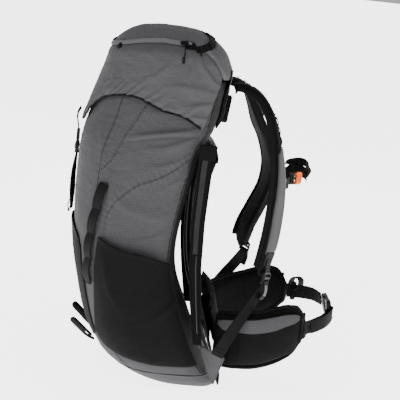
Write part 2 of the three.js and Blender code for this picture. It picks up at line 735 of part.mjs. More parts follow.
// ---------- sternum strap ----------
const STERNUM_Z = sternumEdges.right.z;
const SZ = (x, y, lift = 0) => V(x, y, STERNUM_Z + lift);
const farStart = sternumEdges.left.clone().add(V(6, -11, 0));
const farWebbing = [farStart, SZ(173, 50, 3), SZ(189, 41, 8), SZ(200, 28, 4), SZ(199.5, 18)];
add("sternum_webbing_left", webbing(farWebbing, [UP], WEBBING, 8), BLACK);
const nearStart = sternumEdges.right.clone().add(V(6, 6, 0));
const nearWebbing = [nearStart, SZ(156, -59), SZ(154, -44), SZ(147, -31)];
add("sternum_webbing_right", webbing(nearWebbing, [UP], WEBBING, 8), BLACK);
const STERNUM_ALONG = V(-0.75, -0.66, 0);
const STERNUM_OUT = V(0.66, -0.75, 0);
const sternumCatch = extrudeBlock(roundedBlock(30, 24, 9, 4), [[-10, 0, 3, 16]]);
add("sternum_catch", placed(sternumCatch, SZ(185, 5), STERNUM_ALONG, STERNUM_OUT), ORANGE);
const sternumClip = extrudeBlock(roundedBlock(34, 22, 7, 4), [[10, 0, 3, 16]]);
add("sternum_clip", placed(sternumClip, SZ(160.2, -16.8), STERNUM_ALONG, STERNUM_OUT), BLACK);

// ---------- hip belt ----------
const WING_PLAN = new THREE.CatmullRomCurve3(
  [V(57, -104, 0), V(80, -121, 0), V(114, -137, 0), V(150, -142, 0), V(182, -135, 0), V(202, -118, 0)],
  false,
  "centripetal",
);
const WING_BOTTOM = [[0, 80], [0.2, 80], [0.45, 88], [0.65, 102], [0.85, 121], [1, 144]];
const WING_TOP = [[0, 169], [0.2, 175], [0.45, 185], [0.68, 200], [0.85, 198], [1, 174]];
const wingSurface = (u, v) => {
  const plan = WING_PLAN.getPoint(clamp01(u)).addScaledVector(
    WING_PLAN.getTangent(clamp01(u)),
    (u - clamp01(u)) * 200,
  );
  return plan.setZ(lerp(table(WING_BOTTOM, u), table(WING_TOP, u), v));
};
const wingHalf = (u, v) => 1.5 + (BELT_THICK / 2 - 1.5) * roundEdge(v, 4) * roundEdge(u, 8);
addPair("hip_wing", offsetSheet(wingSurface, (u, v) => -wingHalf(u, v), wingHalf, 6, 10, true), DARK);

// The wing's zipped pocket.
const pocketOnWing = (u, v) => wingSurface(lerp(0.33, 0.82, u), lerp(0.1, 0.9, v));
const arch = (t) => Math.sin(Math.PI * clamp01(t)) ** 0.6;
const puff = (u, v) => BELT_THICK / 2 + 1 + 9 * arch(u) * arch(v);
addPair("hip_pocket", offsetSheet(pocketOnWing, puff, (u, v) => puff(u, v) + 1.6, 6, 8, true), GREY);
const ZIP_U = 0.875;
const zipTop = wingSurface(ZIP_U, 0.86);
const zipOut = normalOf(wingSurface, ZIP_U, 0.5, true);
const ZIP_AT = zipTop.clone().addScaledVector(zipOut, BELT_THICK / 2 + 3);
addPair("hip_zip_slider", placed(extrudeBlock(roundedBlock(14, 8, 3, 1.5)), ZIP_AT, UP, zipOut), BLACK);

// Belt webbing and its buckle.
const BUCKLE_Z = 170;
const beltAcross = [V(0, 0, 1), V(-0.05, 0, 1), V(-0.25, 0, 1)];
const farBelt = [V(205, 112.5, 163), V(222, 97, 167), V(246, 72, 171), V(259, 45, BUCKLE_Z)];
add("belt_webbing_left", webbing(farBelt, beltAcross, BELT_WEBBING, 10), BLACK);
const nearBelt = [V(205, -112.5, 156), V(222, -97, 158), V(246, -72, 163), V(259, -45, BUCKLE_Z)];
add("belt_webbing_right", webbing(nearBelt, beltAcross, BELT_WEBBING, 10), BLACK);
const LEAN = V(1, 0, 0.25);
const beltCatch = extrudeBlock(roundedBlock(42, 38, 11, 6), [[-14, 0, 4, 27]]);
add("belt_catch", placed(beltCatch, V(262, 20, BUCKLE_Z), V(0, -1, 0), LEAN), BLACK);
const beltClip = extrudeBlock(roundedBlock(40, 36, 8, 6), [[12, 0, 4, 27]]);
add("belt_clip", placed(beltClip, V(262, -22, BUCKLE_Z), V(0, -1, 0), LEAN), BLACK);
const keeperAt = V(216, 103, 166);
const keeper = extrudeBlock(roundedBlock(35, 10, 7, 2), [[0, 0, 30, 6.4]]);
add("webbing_keeper", placed(keeper, keeperAt, UP, V(0.74, -0.67, 0.1)), BLACK);

pack.position.z = -FOOT;
export default pack;
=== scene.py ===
import math

import bmesh
import bpy
import numpy as np
from mathutils import Matrix, Vector, noise


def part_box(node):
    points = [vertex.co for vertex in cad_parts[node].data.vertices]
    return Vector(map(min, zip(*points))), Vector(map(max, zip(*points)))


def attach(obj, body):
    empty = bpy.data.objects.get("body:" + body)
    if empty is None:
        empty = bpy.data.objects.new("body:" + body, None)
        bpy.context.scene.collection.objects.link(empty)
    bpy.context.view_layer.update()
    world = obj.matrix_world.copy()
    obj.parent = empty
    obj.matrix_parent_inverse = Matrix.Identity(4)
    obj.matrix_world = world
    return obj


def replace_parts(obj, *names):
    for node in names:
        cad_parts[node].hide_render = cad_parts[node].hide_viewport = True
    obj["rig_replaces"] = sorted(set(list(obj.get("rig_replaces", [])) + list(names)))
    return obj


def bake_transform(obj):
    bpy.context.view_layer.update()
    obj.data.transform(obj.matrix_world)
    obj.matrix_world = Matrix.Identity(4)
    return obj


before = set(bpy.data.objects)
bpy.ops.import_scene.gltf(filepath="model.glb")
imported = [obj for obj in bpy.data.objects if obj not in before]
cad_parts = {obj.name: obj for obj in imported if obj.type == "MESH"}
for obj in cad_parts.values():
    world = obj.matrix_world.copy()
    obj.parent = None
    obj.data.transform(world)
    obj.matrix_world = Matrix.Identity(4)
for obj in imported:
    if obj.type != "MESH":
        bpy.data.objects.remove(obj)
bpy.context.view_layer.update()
FOOT = 22.0  # height of the flat base in the drawing


def mm(points):
    """Drawing millimetres to the frame's metres."""
    a = np.array(points, float)
    a[..., 2] -= FOOT
    return a * 0.001


# ---------- camera, floor and light ----------
TARGET = Vector((0.0132, 0, 0.3185))
DISTANCE = 2.2
AZIMUTH, ELEVATION, ROLL = (math.radians(a) for a in (-5, 10.5, 6.4))


def make_camera():
    back = Vector(
        (
            math.sin(AZIMUTH) * math.cos(ELEVATION),
            -math.cos(AZIMUTH) * math.cos(ELEVATION),
            math.sin(ELEVATION),
        )
    )
    right = (-back).cross(Vector((0, 0, 1))).normalized()
    up = right.cross(-back).normalized()
    x = right * math.cos(ROLL) + up * math.sin(ROLL)
    y = -right * math.sin(ROLL) + up * math.cos(ROLL)
    data = bpy.data.cameras.new("camera")
    data.lens = 112.5
    data.sensor_width = 36
    camera = bpy.data.objects.new("camera", data)
    axes = Matrix((x, y, back)).transposed().to_4x4()
    camera.matrix_world = Matrix.Translation(TARGET + back * DISTANCE) @ axes
    bpy.context.scene.collection.objects.link(camera)
    bpy.context.scene.camera = camera


def make_area(name, place, size, power, colour=(1, 1, 1), aim=(0, 0, 0.33)):
    data = bpy.data.lights.new(name, "AREA")
    data.size = size
    data.energy = power
    data.color = colour
    lamp = bpy.data.objects.new(name, data)
    lamp.location = place
    lamp.rotation_euler = (Vector(aim) - Vector(place)).to_track_quat("-Z", "Y").to_euler()
    bpy.context.scene.collection.objects.link(lamp)


def make_floor():
    bm = bmesh.new()
    bmesh.ops.create_grid(bm, x_segments=2, y_segments=2, size=60)
    mesh = bpy.data.meshes.new("floor")
    bm.to_mesh(mesh)
    floor = bpy.data.objects.new("floor", mesh)
    floor.location = (0, 0, -0.0005)
    bpy.context.scene.collection.objects.link(floor)
    mat = bpy.data.materials.new("floor")
    mat.use_nodes = True
    bsdf = mat.node_tree.nodes["Principled BSDF"]
    bsdf.inputs["Base Color"].default_value = (0.92, 0.92, 0.92, 1)
    bsdf.inputs["Roughness"].default_value = 0.9
    bsdf.inputs["Emission Color"].default_value = (1, 1, 1, 1)
    bsdf.inputs["Emission Strength"].default_value = 3.8
    mesh.materials.append(mat)


make_camera()
make_floor()
world = bpy.data.worlds.new("studio")
world.use_nodes = True
world.node_tree.nodes["Background"].inputs["Color"].default_value = (1, 1, 1, 1)
world.node_tree.nodes["Background"].inputs["Strength"].default_value = 0.5
bpy.context.scene.world = world
make_area("key", (-1.0, -2.1, 2.3), 1.6, 46)
make_area("fill", (1.9, -1.6, 1.2), 2.0, 14)
make_area("back", (0.5, 2.2, 1.8), 2.0, 14)


# ---------- materials ----------
class Graph:
    """Shader nodes for one material."""

    def __init__(self, name):
        self.mat = bpy.data.materials.new(name)
        self.mat.use_nodes = True
        self.tree = self.mat.node_tree
        self.bsdf = self.tree.nodes["Principled BSDF"]

    def node(self, kind, **settings):
        n = self.tree.nodes.new(kind)
        for key, value in settings.items():
            setattr(n, key, value)
        return n

    def put(self, socket, value):
        if isinstance(value, bpy.types.NodeSocket):
            self.tree.links.new(value, socket)
        elif value is not None:
            socket.default_value = value

    def math(self, operation, a, b=None, clamp=False):
        n = self.node("ShaderNodeMath", operation=operation, use_clamp=clamp)
        self.put(n.inputs[0], a)
        self.put(n.inputs[1], b)
        return n.outputs[0]

    def axes(self, uv=True):
        """The surface's coordinates, in millimetres."""
        n = self.node("ShaderNodeTexCoord")
        split = self.node("ShaderNodeSeparateXYZ")
        self.put(split.inputs[0], n.outputs["UV" if uv else "Object"])
        return [self.math("MULTIPLY", s, 1000.0) for s in split.outputs]

    def noise(self, scale, detail=3.0, rough=0.55):
        n = self.node("ShaderNodeTexNoise")
        self.put(n.inputs["Vector"], self.node("ShaderNodeTexCoord").outputs["Object"])
        self.put(n.inputs["Scale"], float(scale))
        self.put(n.inputs["Detail"], float(detail))
        self.put(n.inputs["Roughness"], float(rough))
        return n.outputs["Fac"]

    def voronoi(self, cell, vector=None, feature="F1"):
        n = self.node("ShaderNodeTexVoronoi", feature=feature)
        self.put(n.inputs["Vector"], vector or self.node("ShaderNodeTexCoord").outputs["Object"])
        self.put(n.inputs["Scale"], 1000.0 / cell)
        self.put(n.inputs["Randomness"], 0.25)
        return n.outputs["Distance"]

    def ramp(self, value, low, high, to=(0.0, 1.0)):
        n = self.node("ShaderNodeMapRange", clamp=True, interpolation_type="SMOOTHSTEP")
        for socket, v in zip(n.inputs[:5], (value, low, high, *to)):
            self.put(socket, v)
        return n.outputs[0]

    def wave(self, value, period):
        """From 0 to 1 and back over a period, in millimetres."""
        phase = self.math("MULTIPLY", value, 2 * math.pi / period)
        return self.math("MULTIPLY_ADD", self.math("SINE", phase), 0.5)

    def lines(self, value, cell, width):
        """1 on thin lines that repeat every cell, 0 between them."""
        place = self.math("PINGPONG", value, cell / 2)
        return self.ramp(place, width / 2, width, (1.0, 0.0))

    def mix(self, a, b, factor):
        n = self.node("ShaderNodeMix", data_type="RGBA")
        self.put(n.inputs[0], factor)
        self.put(n.inputs[6], a if isinstance(a, bpy.types.NodeSocket) else (*a, 1))
        self.put(n.inputs[7], b if isinstance(b, bpy.types.NodeSocket) else (*b, 1))
        return n.outputs[2]

    def finish(self, colour, height, bump, roughness, depth=0.0006, shine=0.1):
        self.put(self.bsdf.inputs["Base Color"], colour)
        self.put(self.bsdf.inputs["Specular IOR Level"], shine)
        self.put(self.bsdf.inputs["Roughness"], roughness)
        if height is not None:
            n = self.node("ShaderNodeBump")
            self.put(n.inputs["Strength"], bump)
            self.put(n.inputs["Distance"], depth)
            self.put(n.inputs["Height"], height)
            self.put(self.bsdf.inputs["Normal"], n.outputs[0])
        return self.mat


def grey(v, tint=(1, 1, 1)):
    """A linear colour from an sRGB level out of 255."""
    c = v / 255
    c = c / 12.92 if c <= 0.04045 else ((c + 0.055) / 1.055) ** 2.4
    return tuple(c * t for t in tint)


def scaled(colour, k):
    return tuple(min(c * k, 1.0) for c in colour)


def ripstop(name, colour, cell=4.2, contrast=1.5, rough=0.72, uv=True):
    """A plain weave with a grid of thicker threads."""
    g = Graph(name)
    x, y, z = g.axes(uv)
    if not uv:
        y = z
    grid = g.math("MAXIMUM", g.lines(x, cell, 0.42), g.lines(y, cell, 0.42))
    weave = g.math("MULTIPLY", g.wave(x, 0.62), g.wave(y, 0.62))
    cloud = g.noise(14, 4)
    dirt = g.ramp(g.noise(5, 5, 0.65), 0.55, 0.8)
    body = g.mix(scaled(colour, 0.90), scaled(colour, 1.10), cloud)
    body = g.mix(body, scaled(colour, 0.84), g.math("MULTIPLY", dirt, 0.5))
    shade = g.mix(body, scaled(colour, contrast), g.math("MULTIPLY", grid, 0.8))
    shade = g.mix(shade, scaled(colour, 0.72), g.math("MULTIPLY", weave, 0.35))
    height = g.math("ADD", g.math("MULTIPLY", grid, 0.9), g.math("MULTIPLY", weave, 0.35))
    height = g.math("ADD", height, g.math("MULTIPLY", g.noise(160, 2), 0.8))
    rough = g.ramp(cloud, 0.2, 0.8, (rough - 0.06, rough + 0.08))
    return g.finish(shade, height, 0.35, rough)


def knit(name, colour, cell=1.3, rough=0.88, uv=True):
    """A fine stretch knit with a diagonal rib."""
    g = Graph(name)
    x, y, z = g.axes(uv)
    if not uv:
        y = z
    diagonal = g.math("ADD", x, g.math("MULTIPLY", y, 0.6))
    rib = g.wave(diagonal, cell)
    loops = g.math("MULTIPLY", rib, g.wave(y, cell * 0.8))
    cloud = g.noise(22, 4)
    body = g.mix(scaled(colour, 0.78), scaled(colour, 1.25), cloud)
    shade = g.mix(body, scaled(colour, 1.7), g.math("MULTIPLY", loops, 0.35))
    lint = g.ramp(g.noise(420, 2), 0.66, 0.78)
    shade = g.mix(shade, scaled(colour, 2.6), g.math("MULTIPLY", lint, 0.18))
    height = g.math("ADD", rib, g.math("MULTIPLY", g.noise(300, 2), 0.6))
    return g.finish(shade, height, 0.3, rough)


def spacer(name, colour, cell=3.2, rough=0.9):
    """Spacer mesh: small round openings over foam, with painted shade in the openings."""
    g = Graph(name)
    hole = g.ramp(g.voronoi(cell), 0.12, 0.42)
    cloud = g.noise(25, 3)
    body = g.mix(scaled(colour, 0.8), scaled(colour, 1.2), cloud)
    # The openings are painted darker: painted shade in them.
    shade = g.mix(scaled(colour, 0.28), body, hole)
    height = g.math("ADD", hole, g.math("MULTIPLY", g.noise(500, 2), 0.25))
    return g.finish(shade, height, 0.55, rough, 0.0008)


def lattice(name, colour, gap, cell=5.0, thread=1.1):
    """An open net of crossing threads; its gaps are painted dark, as the shade seen through the net."""
    g = Graph(name)
    x, y, _z = g.axes()
    a = g.math("ADD", x, y)
    b = g.math("SUBTRACT", x, y)
    net = g.math("MAXIMUM", g.lines(a, cell, thread), g.lines(b, cell, thread))
    # The gap colour is painted shade seen through the net.
    shade = g.mix(gap, colour, net)
    shade = g.mix(shade, scaled(colour, 1.4), g.math("MULTIPLY", g.noise(60, 3), 0.3))
    return g.finish(shade, net, 0.8, 0.75, 0.0012)


def woven(name, colour, rough=0.7, rib=1.5):
    """Webbing: ribs across it and a chevron down its middle."""
    g = Graph(name)
    x, y, _z = g.axes()
    slanted = g.math("ADD", y, g.math("MULTIPLY", g.math("PINGPONG", x, 3.0), 0.7))
    ribs = g.wave(slanted, rib)
    threads = g.wave(x, 0.9)
    cloud = g.noise(45, 3)
    body = g.mix(scaled(colour, 0.8), scaled(colour, 1.2), cloud)
    # Darker between the ribs, where the bump sinks: painted shade in the grooves.
    shade = g.mix(scaled(colour, 0.55), body, g.ramp(ribs, 0.05, 0.55))
    fuzz = g.ramp(g.noise(380, 3), 0.62, 0.75)
    shade = g.mix(shade, scaled(colour, 2.2), g.math("MULTIPLY", fuzz, 0.25))
    height = g.math("ADD", ribs, g.math("MULTIPLY", threads, 0.3))
    return g.finish(shade, height, 0.5, rough)


def moulded(name, colour, rough=0.42):
    """Moulded acetal with a fine spark finish and rubbed patches."""
    g = Graph(name)
    cloud = g.noise(60, 4)
    rub = g.ramp(g.noise(26, 5, 0.7), 0.6, 0.75)
    body = g.mix(scaled(colour, 0.88), scaled(colour, 1.1), cloud)
    shade = g.mix(body, scaled(colour, 1.6), g.math("MULTIPLY", rub, 0.3))
    roughness = g.ramp(rub, 0.0, 1.0, (rough, rough - 0.1))
    return g.finish(shade, g.noise(1500, 2), 0.08, roughness, 0.0002, 0.12)


def coated(name, colour):
    g = Graph(name)
    g.put(g.bsdf.inputs["Metallic"], 0.6)
    shade = g.mix(scaled(colour, 0.8), scaled(colour, 1.3), g.noise(80, 3))
    return g.finish(shade, g.noise(900, 2), 0.06, 0.4, 0.0002, 0.4)


COOL = (1.0, 0.985, 1.06)
SIDE = ripstop("ripstop", grey(55, COOL))
LID_SIDE = ripstop("lid_side_ripstop", grey(60, COOL))
# A lighter copy of the lid's ripstop: the light on the top is painted into its colour.
LID_TOP_PAINTED_LIT = ripstop("lid_top_ripstop_painted_lit", grey(70, COOL))
BELT_GREY = ripstop("belt_ripstop", grey(60, COOL))
OVERLAY = ripstop("overlay_ripstop", grey(58, COOL), cell=3.2)
LINING = ripstop("lining", grey(34), cell=5.0, contrast=1.25)
STRETCH = knit("stretch_knit", grey(8))
STRETCH_DIM = knit("stretch_front", grey(14), cell=1.8)
FOAM = spacer("spacer_mesh", grey(6))
FOAM_INNER = spacer("spacer_inner", grey(4), cell=4.4)
BLACKCLOTH = knit("black_cloth", grey(5), cell=0.9)
NET = lattice("back_net", grey(24), grey(5), cell=5.0)
STRIP_NET = lattice("strip_net", grey(40), grey(8), cell=4.0, thread=0.9)
WEBBING_BLACK = woven("black_webbing", grey(8))
BINDING = woven("binding_tape", grey(5), rib=0.9)
ELASTIC = woven("elastic", grey(14), rib=2.2)
PIPING = knit("light_piping", grey(110), cell=0.8)
THREAD = knit("thread", grey(24), cell=0.5)
THREAD_LIGHT = knit("grey_thread", grey(52), cell=0.5)
CORD = woven("cord_sheath", grey(7), rib=1.1)
PLASTIC = moulded("black_acetal", grey(6))
ORANGE = moulded("orange_acetal", (0.9, 0.13, 0.006), 0.45)
RUBBER = moulded("black_rubber", grey(6), 0.6)
STEEL = coated("coated_steel", grey(24))
TAB = knit("tab_tape", grey(95), cell=0.7)


# ---------- mesh helpers ----------
def unit(v):
    v = np.asarray(v, float)
    return v / np.maximum(np.linalg.norm(v, axis=-1, keepdims=True), 1e-9)


def lerp(a, b, t):
    return a + (b - a) * t


def make(
    name, points, faces, materials, body, replaces=(), uv=None, indices=None, smooth=True
):
    """A new piece from drawing points and faces; uv is one pair in metres for each point."""
    mesh = bpy.data.meshes.new(name)
    mesh.from_pydata(mm(points).tolist(), [], faces)
    if not isinstance(materials, (list, tuple)):
        materials = [materials]
    for m in materials:
        mesh.materials.append(m)
    if indices is not None:
        mesh.polygons.foreach_set("material_index", np.asarray(indices, np.int32))
    if uv is not None:
        layer = mesh.uv_layers.new(name="UVMap")
        loops = np.empty(len(mesh.loops), np.int32)
        mesh.loops.foreach_get("vertex_index", loops)
        layer.data.foreach_set("uv", np.asarray(uv, np.float32)[loops].ravel())
    mesh.polygons.foreach_set("use_smooth", np.full(len(mesh.polygons), smooth))
    mesh.validate()
    bm = bmesh.new()
    bm.from_mesh(mesh)
    bmesh.ops.recalc_face_normals(bm, faces=bm.faces)
    bm.to_mesh(mesh)
    bm.free()
    obj = bpy.data.objects.new(name, mesh)
    bpy.context.scene.collection.objects.link(obj)
    settle(obj, body, replaces)
    return obj


def settle(obj, body, replaces=()):
    if body:
        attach(obj, body)
    if replaces:
        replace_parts(obj, *([replaces] if isinstance(replaces, str) else replaces))


def grid_faces(rows, columns, wrap=False, start=0):
    faces = []
    for r in range(rows - 1):
        for c in range(columns if wrap else columns - 1):
            a = start + r * columns + c
            b = start + r * columns + (c + 1) % columns
            faces.append((a, b, b + columns, a + columns))
    return faces


def grid_normals(points):
    du = np.gradient(points, axis=1)
    dv = np.gradient(points, axis=0)
    return unit(np.cross(du, dv))


def grid_uv(points):
    """Distances along the rows and columns of a grid, in metres."""
    du = np.linalg.norm(np.diff(points, axis=1), axis=2)
    dv = np.linalg.norm(np.diff(points, axis=0), axis=2)
    rows, columns = points.shape[:2]
    u = np.zeros((rows, columns))
    v = np.zeros((rows, columns))
    middle = columns // 2
    u[:, 1:] = np.cumsum(du, axis=1)
    u -= u[:, middle : middle + 1]
    v[1:] = np.cumsum(dv, axis=0)
    return np.stack((u, v), -1).reshape(-1, 2) * 0.001


def sheet(name, points, thick, material, body, replaces=(), inner=None, normals=None):
    """A cloth sheet: a grid of points with its thickness behind it and its edges closed."""
    points = np.asarray(points, float)
    rows, columns = points.shape[:2]
    n = grid_normals(points) if normals is None else normals
    back = points - n * thick
    count = rows * columns
    faces = grid_faces(rows, columns)
    far = [tuple(reversed([i + count for i in f])) for f in grid_faces(rows, columns)]
    rim = [(0, c) for c in range(columns)] + [(r, columns - 1) for r in range(1, rows)]
    rim += [
        (rows - 1, c) for c in range(columns - 2, -1, -1)
    ] + [(r, 0) for r in range(rows - 2, 0, -1)]
    at = [r * columns + c for r, c in rim]
    wall = [
        (
            at[i], at[(i + 1) % len(at)], at[(i + 1) % len(at)] + count, at[i] + count
        ) for i in range(len(at))
    ]
    uv = grid_uv(points)
    materials = [material] if inner is None else [material, inner]
    marks = [0] * len(faces) + [0 if inner is None else 1] * len(far) + [0] * len(wall)
    allpoints = np.concatenate((points.reshape(-1, 3), back.reshape(-1, 3)))
    return make(
        name, allpoints, faces + far + wall, materials, body, replaces,
        np.concatenate((uv, uv)), marks
    )


def curve(points, count, closed=False):
    """Evenly spaced points on a smooth curve through the given ones."""
    p = np.asarray(points, float)
    if closed:
        p = np.concatenate((p[-1:], p, p[:2]))
    else:
        p = np.concatenate((2 * p[:1] - p[1:2], p, 2 * p[-1:] - p[-2:-1]))
    out = []
    for i in range(1, len(p) - 2):
        a, b, c, d = p[i - 1], p[i], p[i + 1], p[i + 2]
        t0 = 0.0
        t1 = t0 + max(np.linalg.norm(b - a), 1e-6) ** 0.5
        t2 = t1 + max(np.linalg.norm(c - b), 1e-6) ** 0.5
        t3 = t2 + max(np.linalg.norm(d - c), 1e-6) ** 0.5
        for k in range(24):
            t = lerp(t1, t2, k / 24)
            a1 = (t1 - t) / (t1 - t0) * a + (t - t0) / (t1 - t0) * b
            a2 = (t2 - t) / (t2 - t1) * b + (t - t1) / (t2 - t1) * c
            a3 = (t3 - t) / (t3 - t2) * c + (t - t2) / (t3 - t2) * d
            b1 = (t2 - t) / (t2 - t0) * a1 + (t - t0) / (t2 - t0) * a2
            b2 = (t3 - t) / (t3 - t1) * a2 + (t - t1) / (t3 - t1) * a3
            out.append((t2 - t) / (t2 - t1) * b1 + (t - t1) / (t2 - t1) * b2)
    out.append(p[-2])
    return even(np.array(out), count + 1 if closed else count)[: count if closed else None]


def even(points, count):
    """A line's points spaced evenly along it."""
    points = np.asarray(points, float)
    s = np.concatenate(([0], np.cumsum(np.linalg.norm(np.diff(points, axis=0), axis=1))))
    t = np.linspace(0, s[-1], count)
    return np.stack([np.interp(t, s, points[:, k]) for k in range(points.shape[1])], -1)


def spread(values, count):
    """Numbers or vectors spread evenly over a count of stations."""
    values = np.asarray(values, float)
    if len(values) == 1:
        return np.repeat(values, count, 0)
    t = np.linspace(0, len(values) - 1, count)
    i = np.minimum(t.astype(int), len(values) - 2)
    f = t - i
    return values[i] + (values[i + 1] - values[i]) * (f if values.ndim == 1 else f[:, None])


def frames(points, across):
    """Along, across and outward directions at each station."""
    along = unit(np.gradient(points, axis=0))
    normal = unit(np.cross(along, across))
    return along, unit(np.cross(normal, along)), normal


def swept(
    name, points, across, section, material, body, replaces=(), sizes=None, closed=False
):
    """A closed section, as (across, out) pairs, swept along stations; sizes scales it at each."""
    points = np.asarray(points, float)
    n = len(points)
    section = np.asarray(section, float)
    sides = len(section)
    if closed:
        along = unit(np.roll(points, -1, 0) - np.roll(points, 1, 0))
        normal = unit(np.cross(along, across))
        cross = unit(np.cross(normal, along))
    else:
        along, cross, normal = frames(points, across)
    sizes = np.ones((n, 2)) if sizes is None else np.asarray(sizes, float).reshape(n, -1)
    if sizes.shape[1] == 1:
        sizes = np.repeat(sizes, 2, 1)
    verts = (
        points[:, None]
        + cross[:, None] * (section[None, :, :1] * sizes[:, None, :1])
        + normal[:, None] * (section[None, :, 1:] * sizes[:, None, 1:])
    )
    length = np.concatenate(([0], np.cumsum(np.linalg.norm(np.diff(points, axis=0), axis=1))))
    u = np.tile(section[:, 0] * float(np.mean(sizes[:, 0])), (n, 1))
    uv = np.stack((u, np.tile(length[:, None], (1, sides))), -1).reshape(-1, 2) * 0.001
    faces = grid_faces(n, sides, wrap=True)
    if closed:
        last = (n - 1) * sides
        faces += [(last + i, last + (i + 1) % sides, (i + 1) % sides, i) for i in range(sides)]
    else:
        faces.append(tuple(range(sides)))
        faces.append(tuple(range((n - 1) * sides, n * sides)))
    return make(name, verts.reshape(-1, 3), faces, material, body, replaces, uv)


def flat_section(width, thick, corner=None):
    """A flat strap's section, with rounded edges."""
    a, b = width / 2, thick / 2
    r = min(corner or b, b) * 0.98
    pts = []
    for cx, cy, start in (
        (a - r, b - r, 0), (-a + r, b - r, 90), (-a + r, -b + r, 180), (a - r, -b + r, 270)
    ):
        for k in range(3):
            t = math.radians(start + 45 * k)
            pts.append((cx + r * math.cos(t), cy + r * math.sin(t)))
        if start == 0:
            pts += [(a * f, b) for f in (0.6, 0.2, -0.2, -0.6)]
        if start == 180:
            pts += [(-a * f, -b) for f in (0.6, 0.2, -0.2, -0.6)]
    return pts


def round_section(radius, sides=10, squash=1.0):
    t = np.linspace(0, 2 * math.pi, sides, endpoint=False)
    return np.stack((radius * np.cos(t), radius * squash * np.sin(t)), -1)


def super_section(sides, power):
    t = (np.arange(sides) + 0.5) / sides * 2 * math.pi
    c, d = np.cos(t), np.sin(t)
    return np.stack(
        (np.sign(c) * abs(c) ** (2 / power), np.sign(d) * abs(d) ** (2 / power)), -1
    ) / 2


def strap(name, points, acrosses, width, thick, material, body, replaces=(), count=None):
    """Webbing of one width along a smooth curve."""
    length = sum(np.linalg.norm(np.diff(np.asarray(points, float), axis=0), axis=1))
    count = count or max(8, int(length / 4))
    p = curve(points, count)
    across = spread([np.asarray(a, float) for a in acrosses], count)
    return swept(name, p, across, flat_section(width, thick), material, body, replaces)


def level_across(points):
    """A direction across a line that isn't along it anywhere."""
    along = unit(np.gradient(np.asarray(points, float), axis=0))
    guide = np.array((0.31, 0.52, 0.79))
    guess = np.cross(along[0], guide)
    out = [unit(guess)]
    for a in along[1:]:
        v = out[-1] - a * np.dot(out[-1], a)
        out.append(unit(v))
    return np.array(out)


def tube(
    name, points, radius, material, body, replaces=(), sides=10, smooth=True, step=3.0,
    closed=False, squash=1.0
):
    points = np.asarray(points, float)
    length = sum(np.linalg.norm(np.diff(points, axis=0), axis=1))
    p = curve(points, max(6, int(length / step)), closed) if smooth else points
    across = level_across(p)
    return swept(
        name, p, across, round_section(radius, sides, squash), material, body, replaces,
        closed=closed
    )


def join(name, pieces):
    """Several new pieces made one object, which keeps the first one's body and the parts that any of them
    replaces.
    """
    kept = pieces[0]
    bpy.ops.object.select_all(action="DESELECT")
    marks = set()
    for p in pieces:
        marks |= set(p.get("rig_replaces", []))
        p.select_set(True)
    bpy.context.view_layer.objects.active = kept
    bpy.ops.object.join()
    kept.name = name
    kept.data.name = name
    if marks:
        kept["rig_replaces"] = sorted(marks)
    return kept


def free_cord(
    name, points, radius, body, replaces=()
):
    """A cord that hangs free."""
    line = curve(points, 60)
    obj = tube(name, line, radius, CORD, body, replaces, sides=10, smooth=False)
    path = mm(line)
    return obj


def loop_sleeve(name, line):
    """A soft sleeve holding both strands of a loop together over its outer half."""
    out, back = line[10:29], line[31:50][::-1]
    mid = (out + back) / 2
    side = out - back
    half = np.linalg.norm(side, axis=1) / 2 + 2.6
    tip = unit(line[30] - line[26])
    mid = np.concatenate((mid, (line[30] + tip * 1.4)[None]))
    half = np.append(half, half[-1] * 0.62)
    side = np.concatenate((side, side[-1:]))
    over = unit(np.cross(np.gradient(mid, axis=0), side))
    side = unit(side)
    thick = np.full(len(mid), 3.4)
    thick[-1] = 2.2
    points = [
        m + side[k] * (h * np.cos(a)) + over[k] * (thick[k] * np.sin(a)) for k,
        (m, h) in enumerate(zip(mid, half)) for a in np.linspace(0, 2 * np.pi, 17)[:-1]
    ]
    rows = len(mid)
    faces = [
        (
            r * 16 + c, r * 16 + (c + 1) % 16, (r + 1) * 16 + (c + 1) % 16, (r + 1) * 16 + c
        ) for r in range(rows - 1) for c in range(16)
    ]
    faces.append(tuple(range(15, -1, -1)))
    faces.append(tuple((rows - 1) * 16 + c for c in range(16)))
    return make(name, np.array(points), faces, RUBBER, "bag")


def stitches(name, points, normals, material, body, length=2.6, gap=1.5, radius=0.32, lift=0.25):
    """A row of thread stitches along a line."""
    points = np.asarray(points, float)
    total = sum(np.linalg.norm(np.diff(points, axis=0), axis=1))
    count = max(2, int(total / (length + gap)))
    line = even(np.concatenate((points, np.asarray(normals, float)), 1), count * 2 + 1)
    verts, faces = [], []
    for i in range(count):
        a, b = line[2 * i, :3], line[2 * i + 1, :3]
        n = unit(line[2 * i, 3:])
        a, b = a + n * lift, a + (b - a) * (length / (length + gap)) * 2 * 0.5 + n * lift
        along = unit(b - a)
        side = np.cross(n, along) * radius
        start = len(verts)
        for p, k in ((a, 0.5), (lerp(a, b, 0.2), 1), (lerp(a, b, 0.8), 1), (b, 0.5)):
            verts += [p + side * k, p + n * radius * k, p - side * k, p - n * radius * k]
        for r in range(3):
            for c in range(4):
                q = start + r * 4
                faces.append((q + c, q + (c + 1) % 4, q + 4 + (c + 1) % 4, q + 4 + c))
        faces += [
            (start, start + 1, start + 2, start + 3),
            (start + 12, start + 13, start + 14, start + 15)
        ]
    return make(name, verts, faces, material, body)


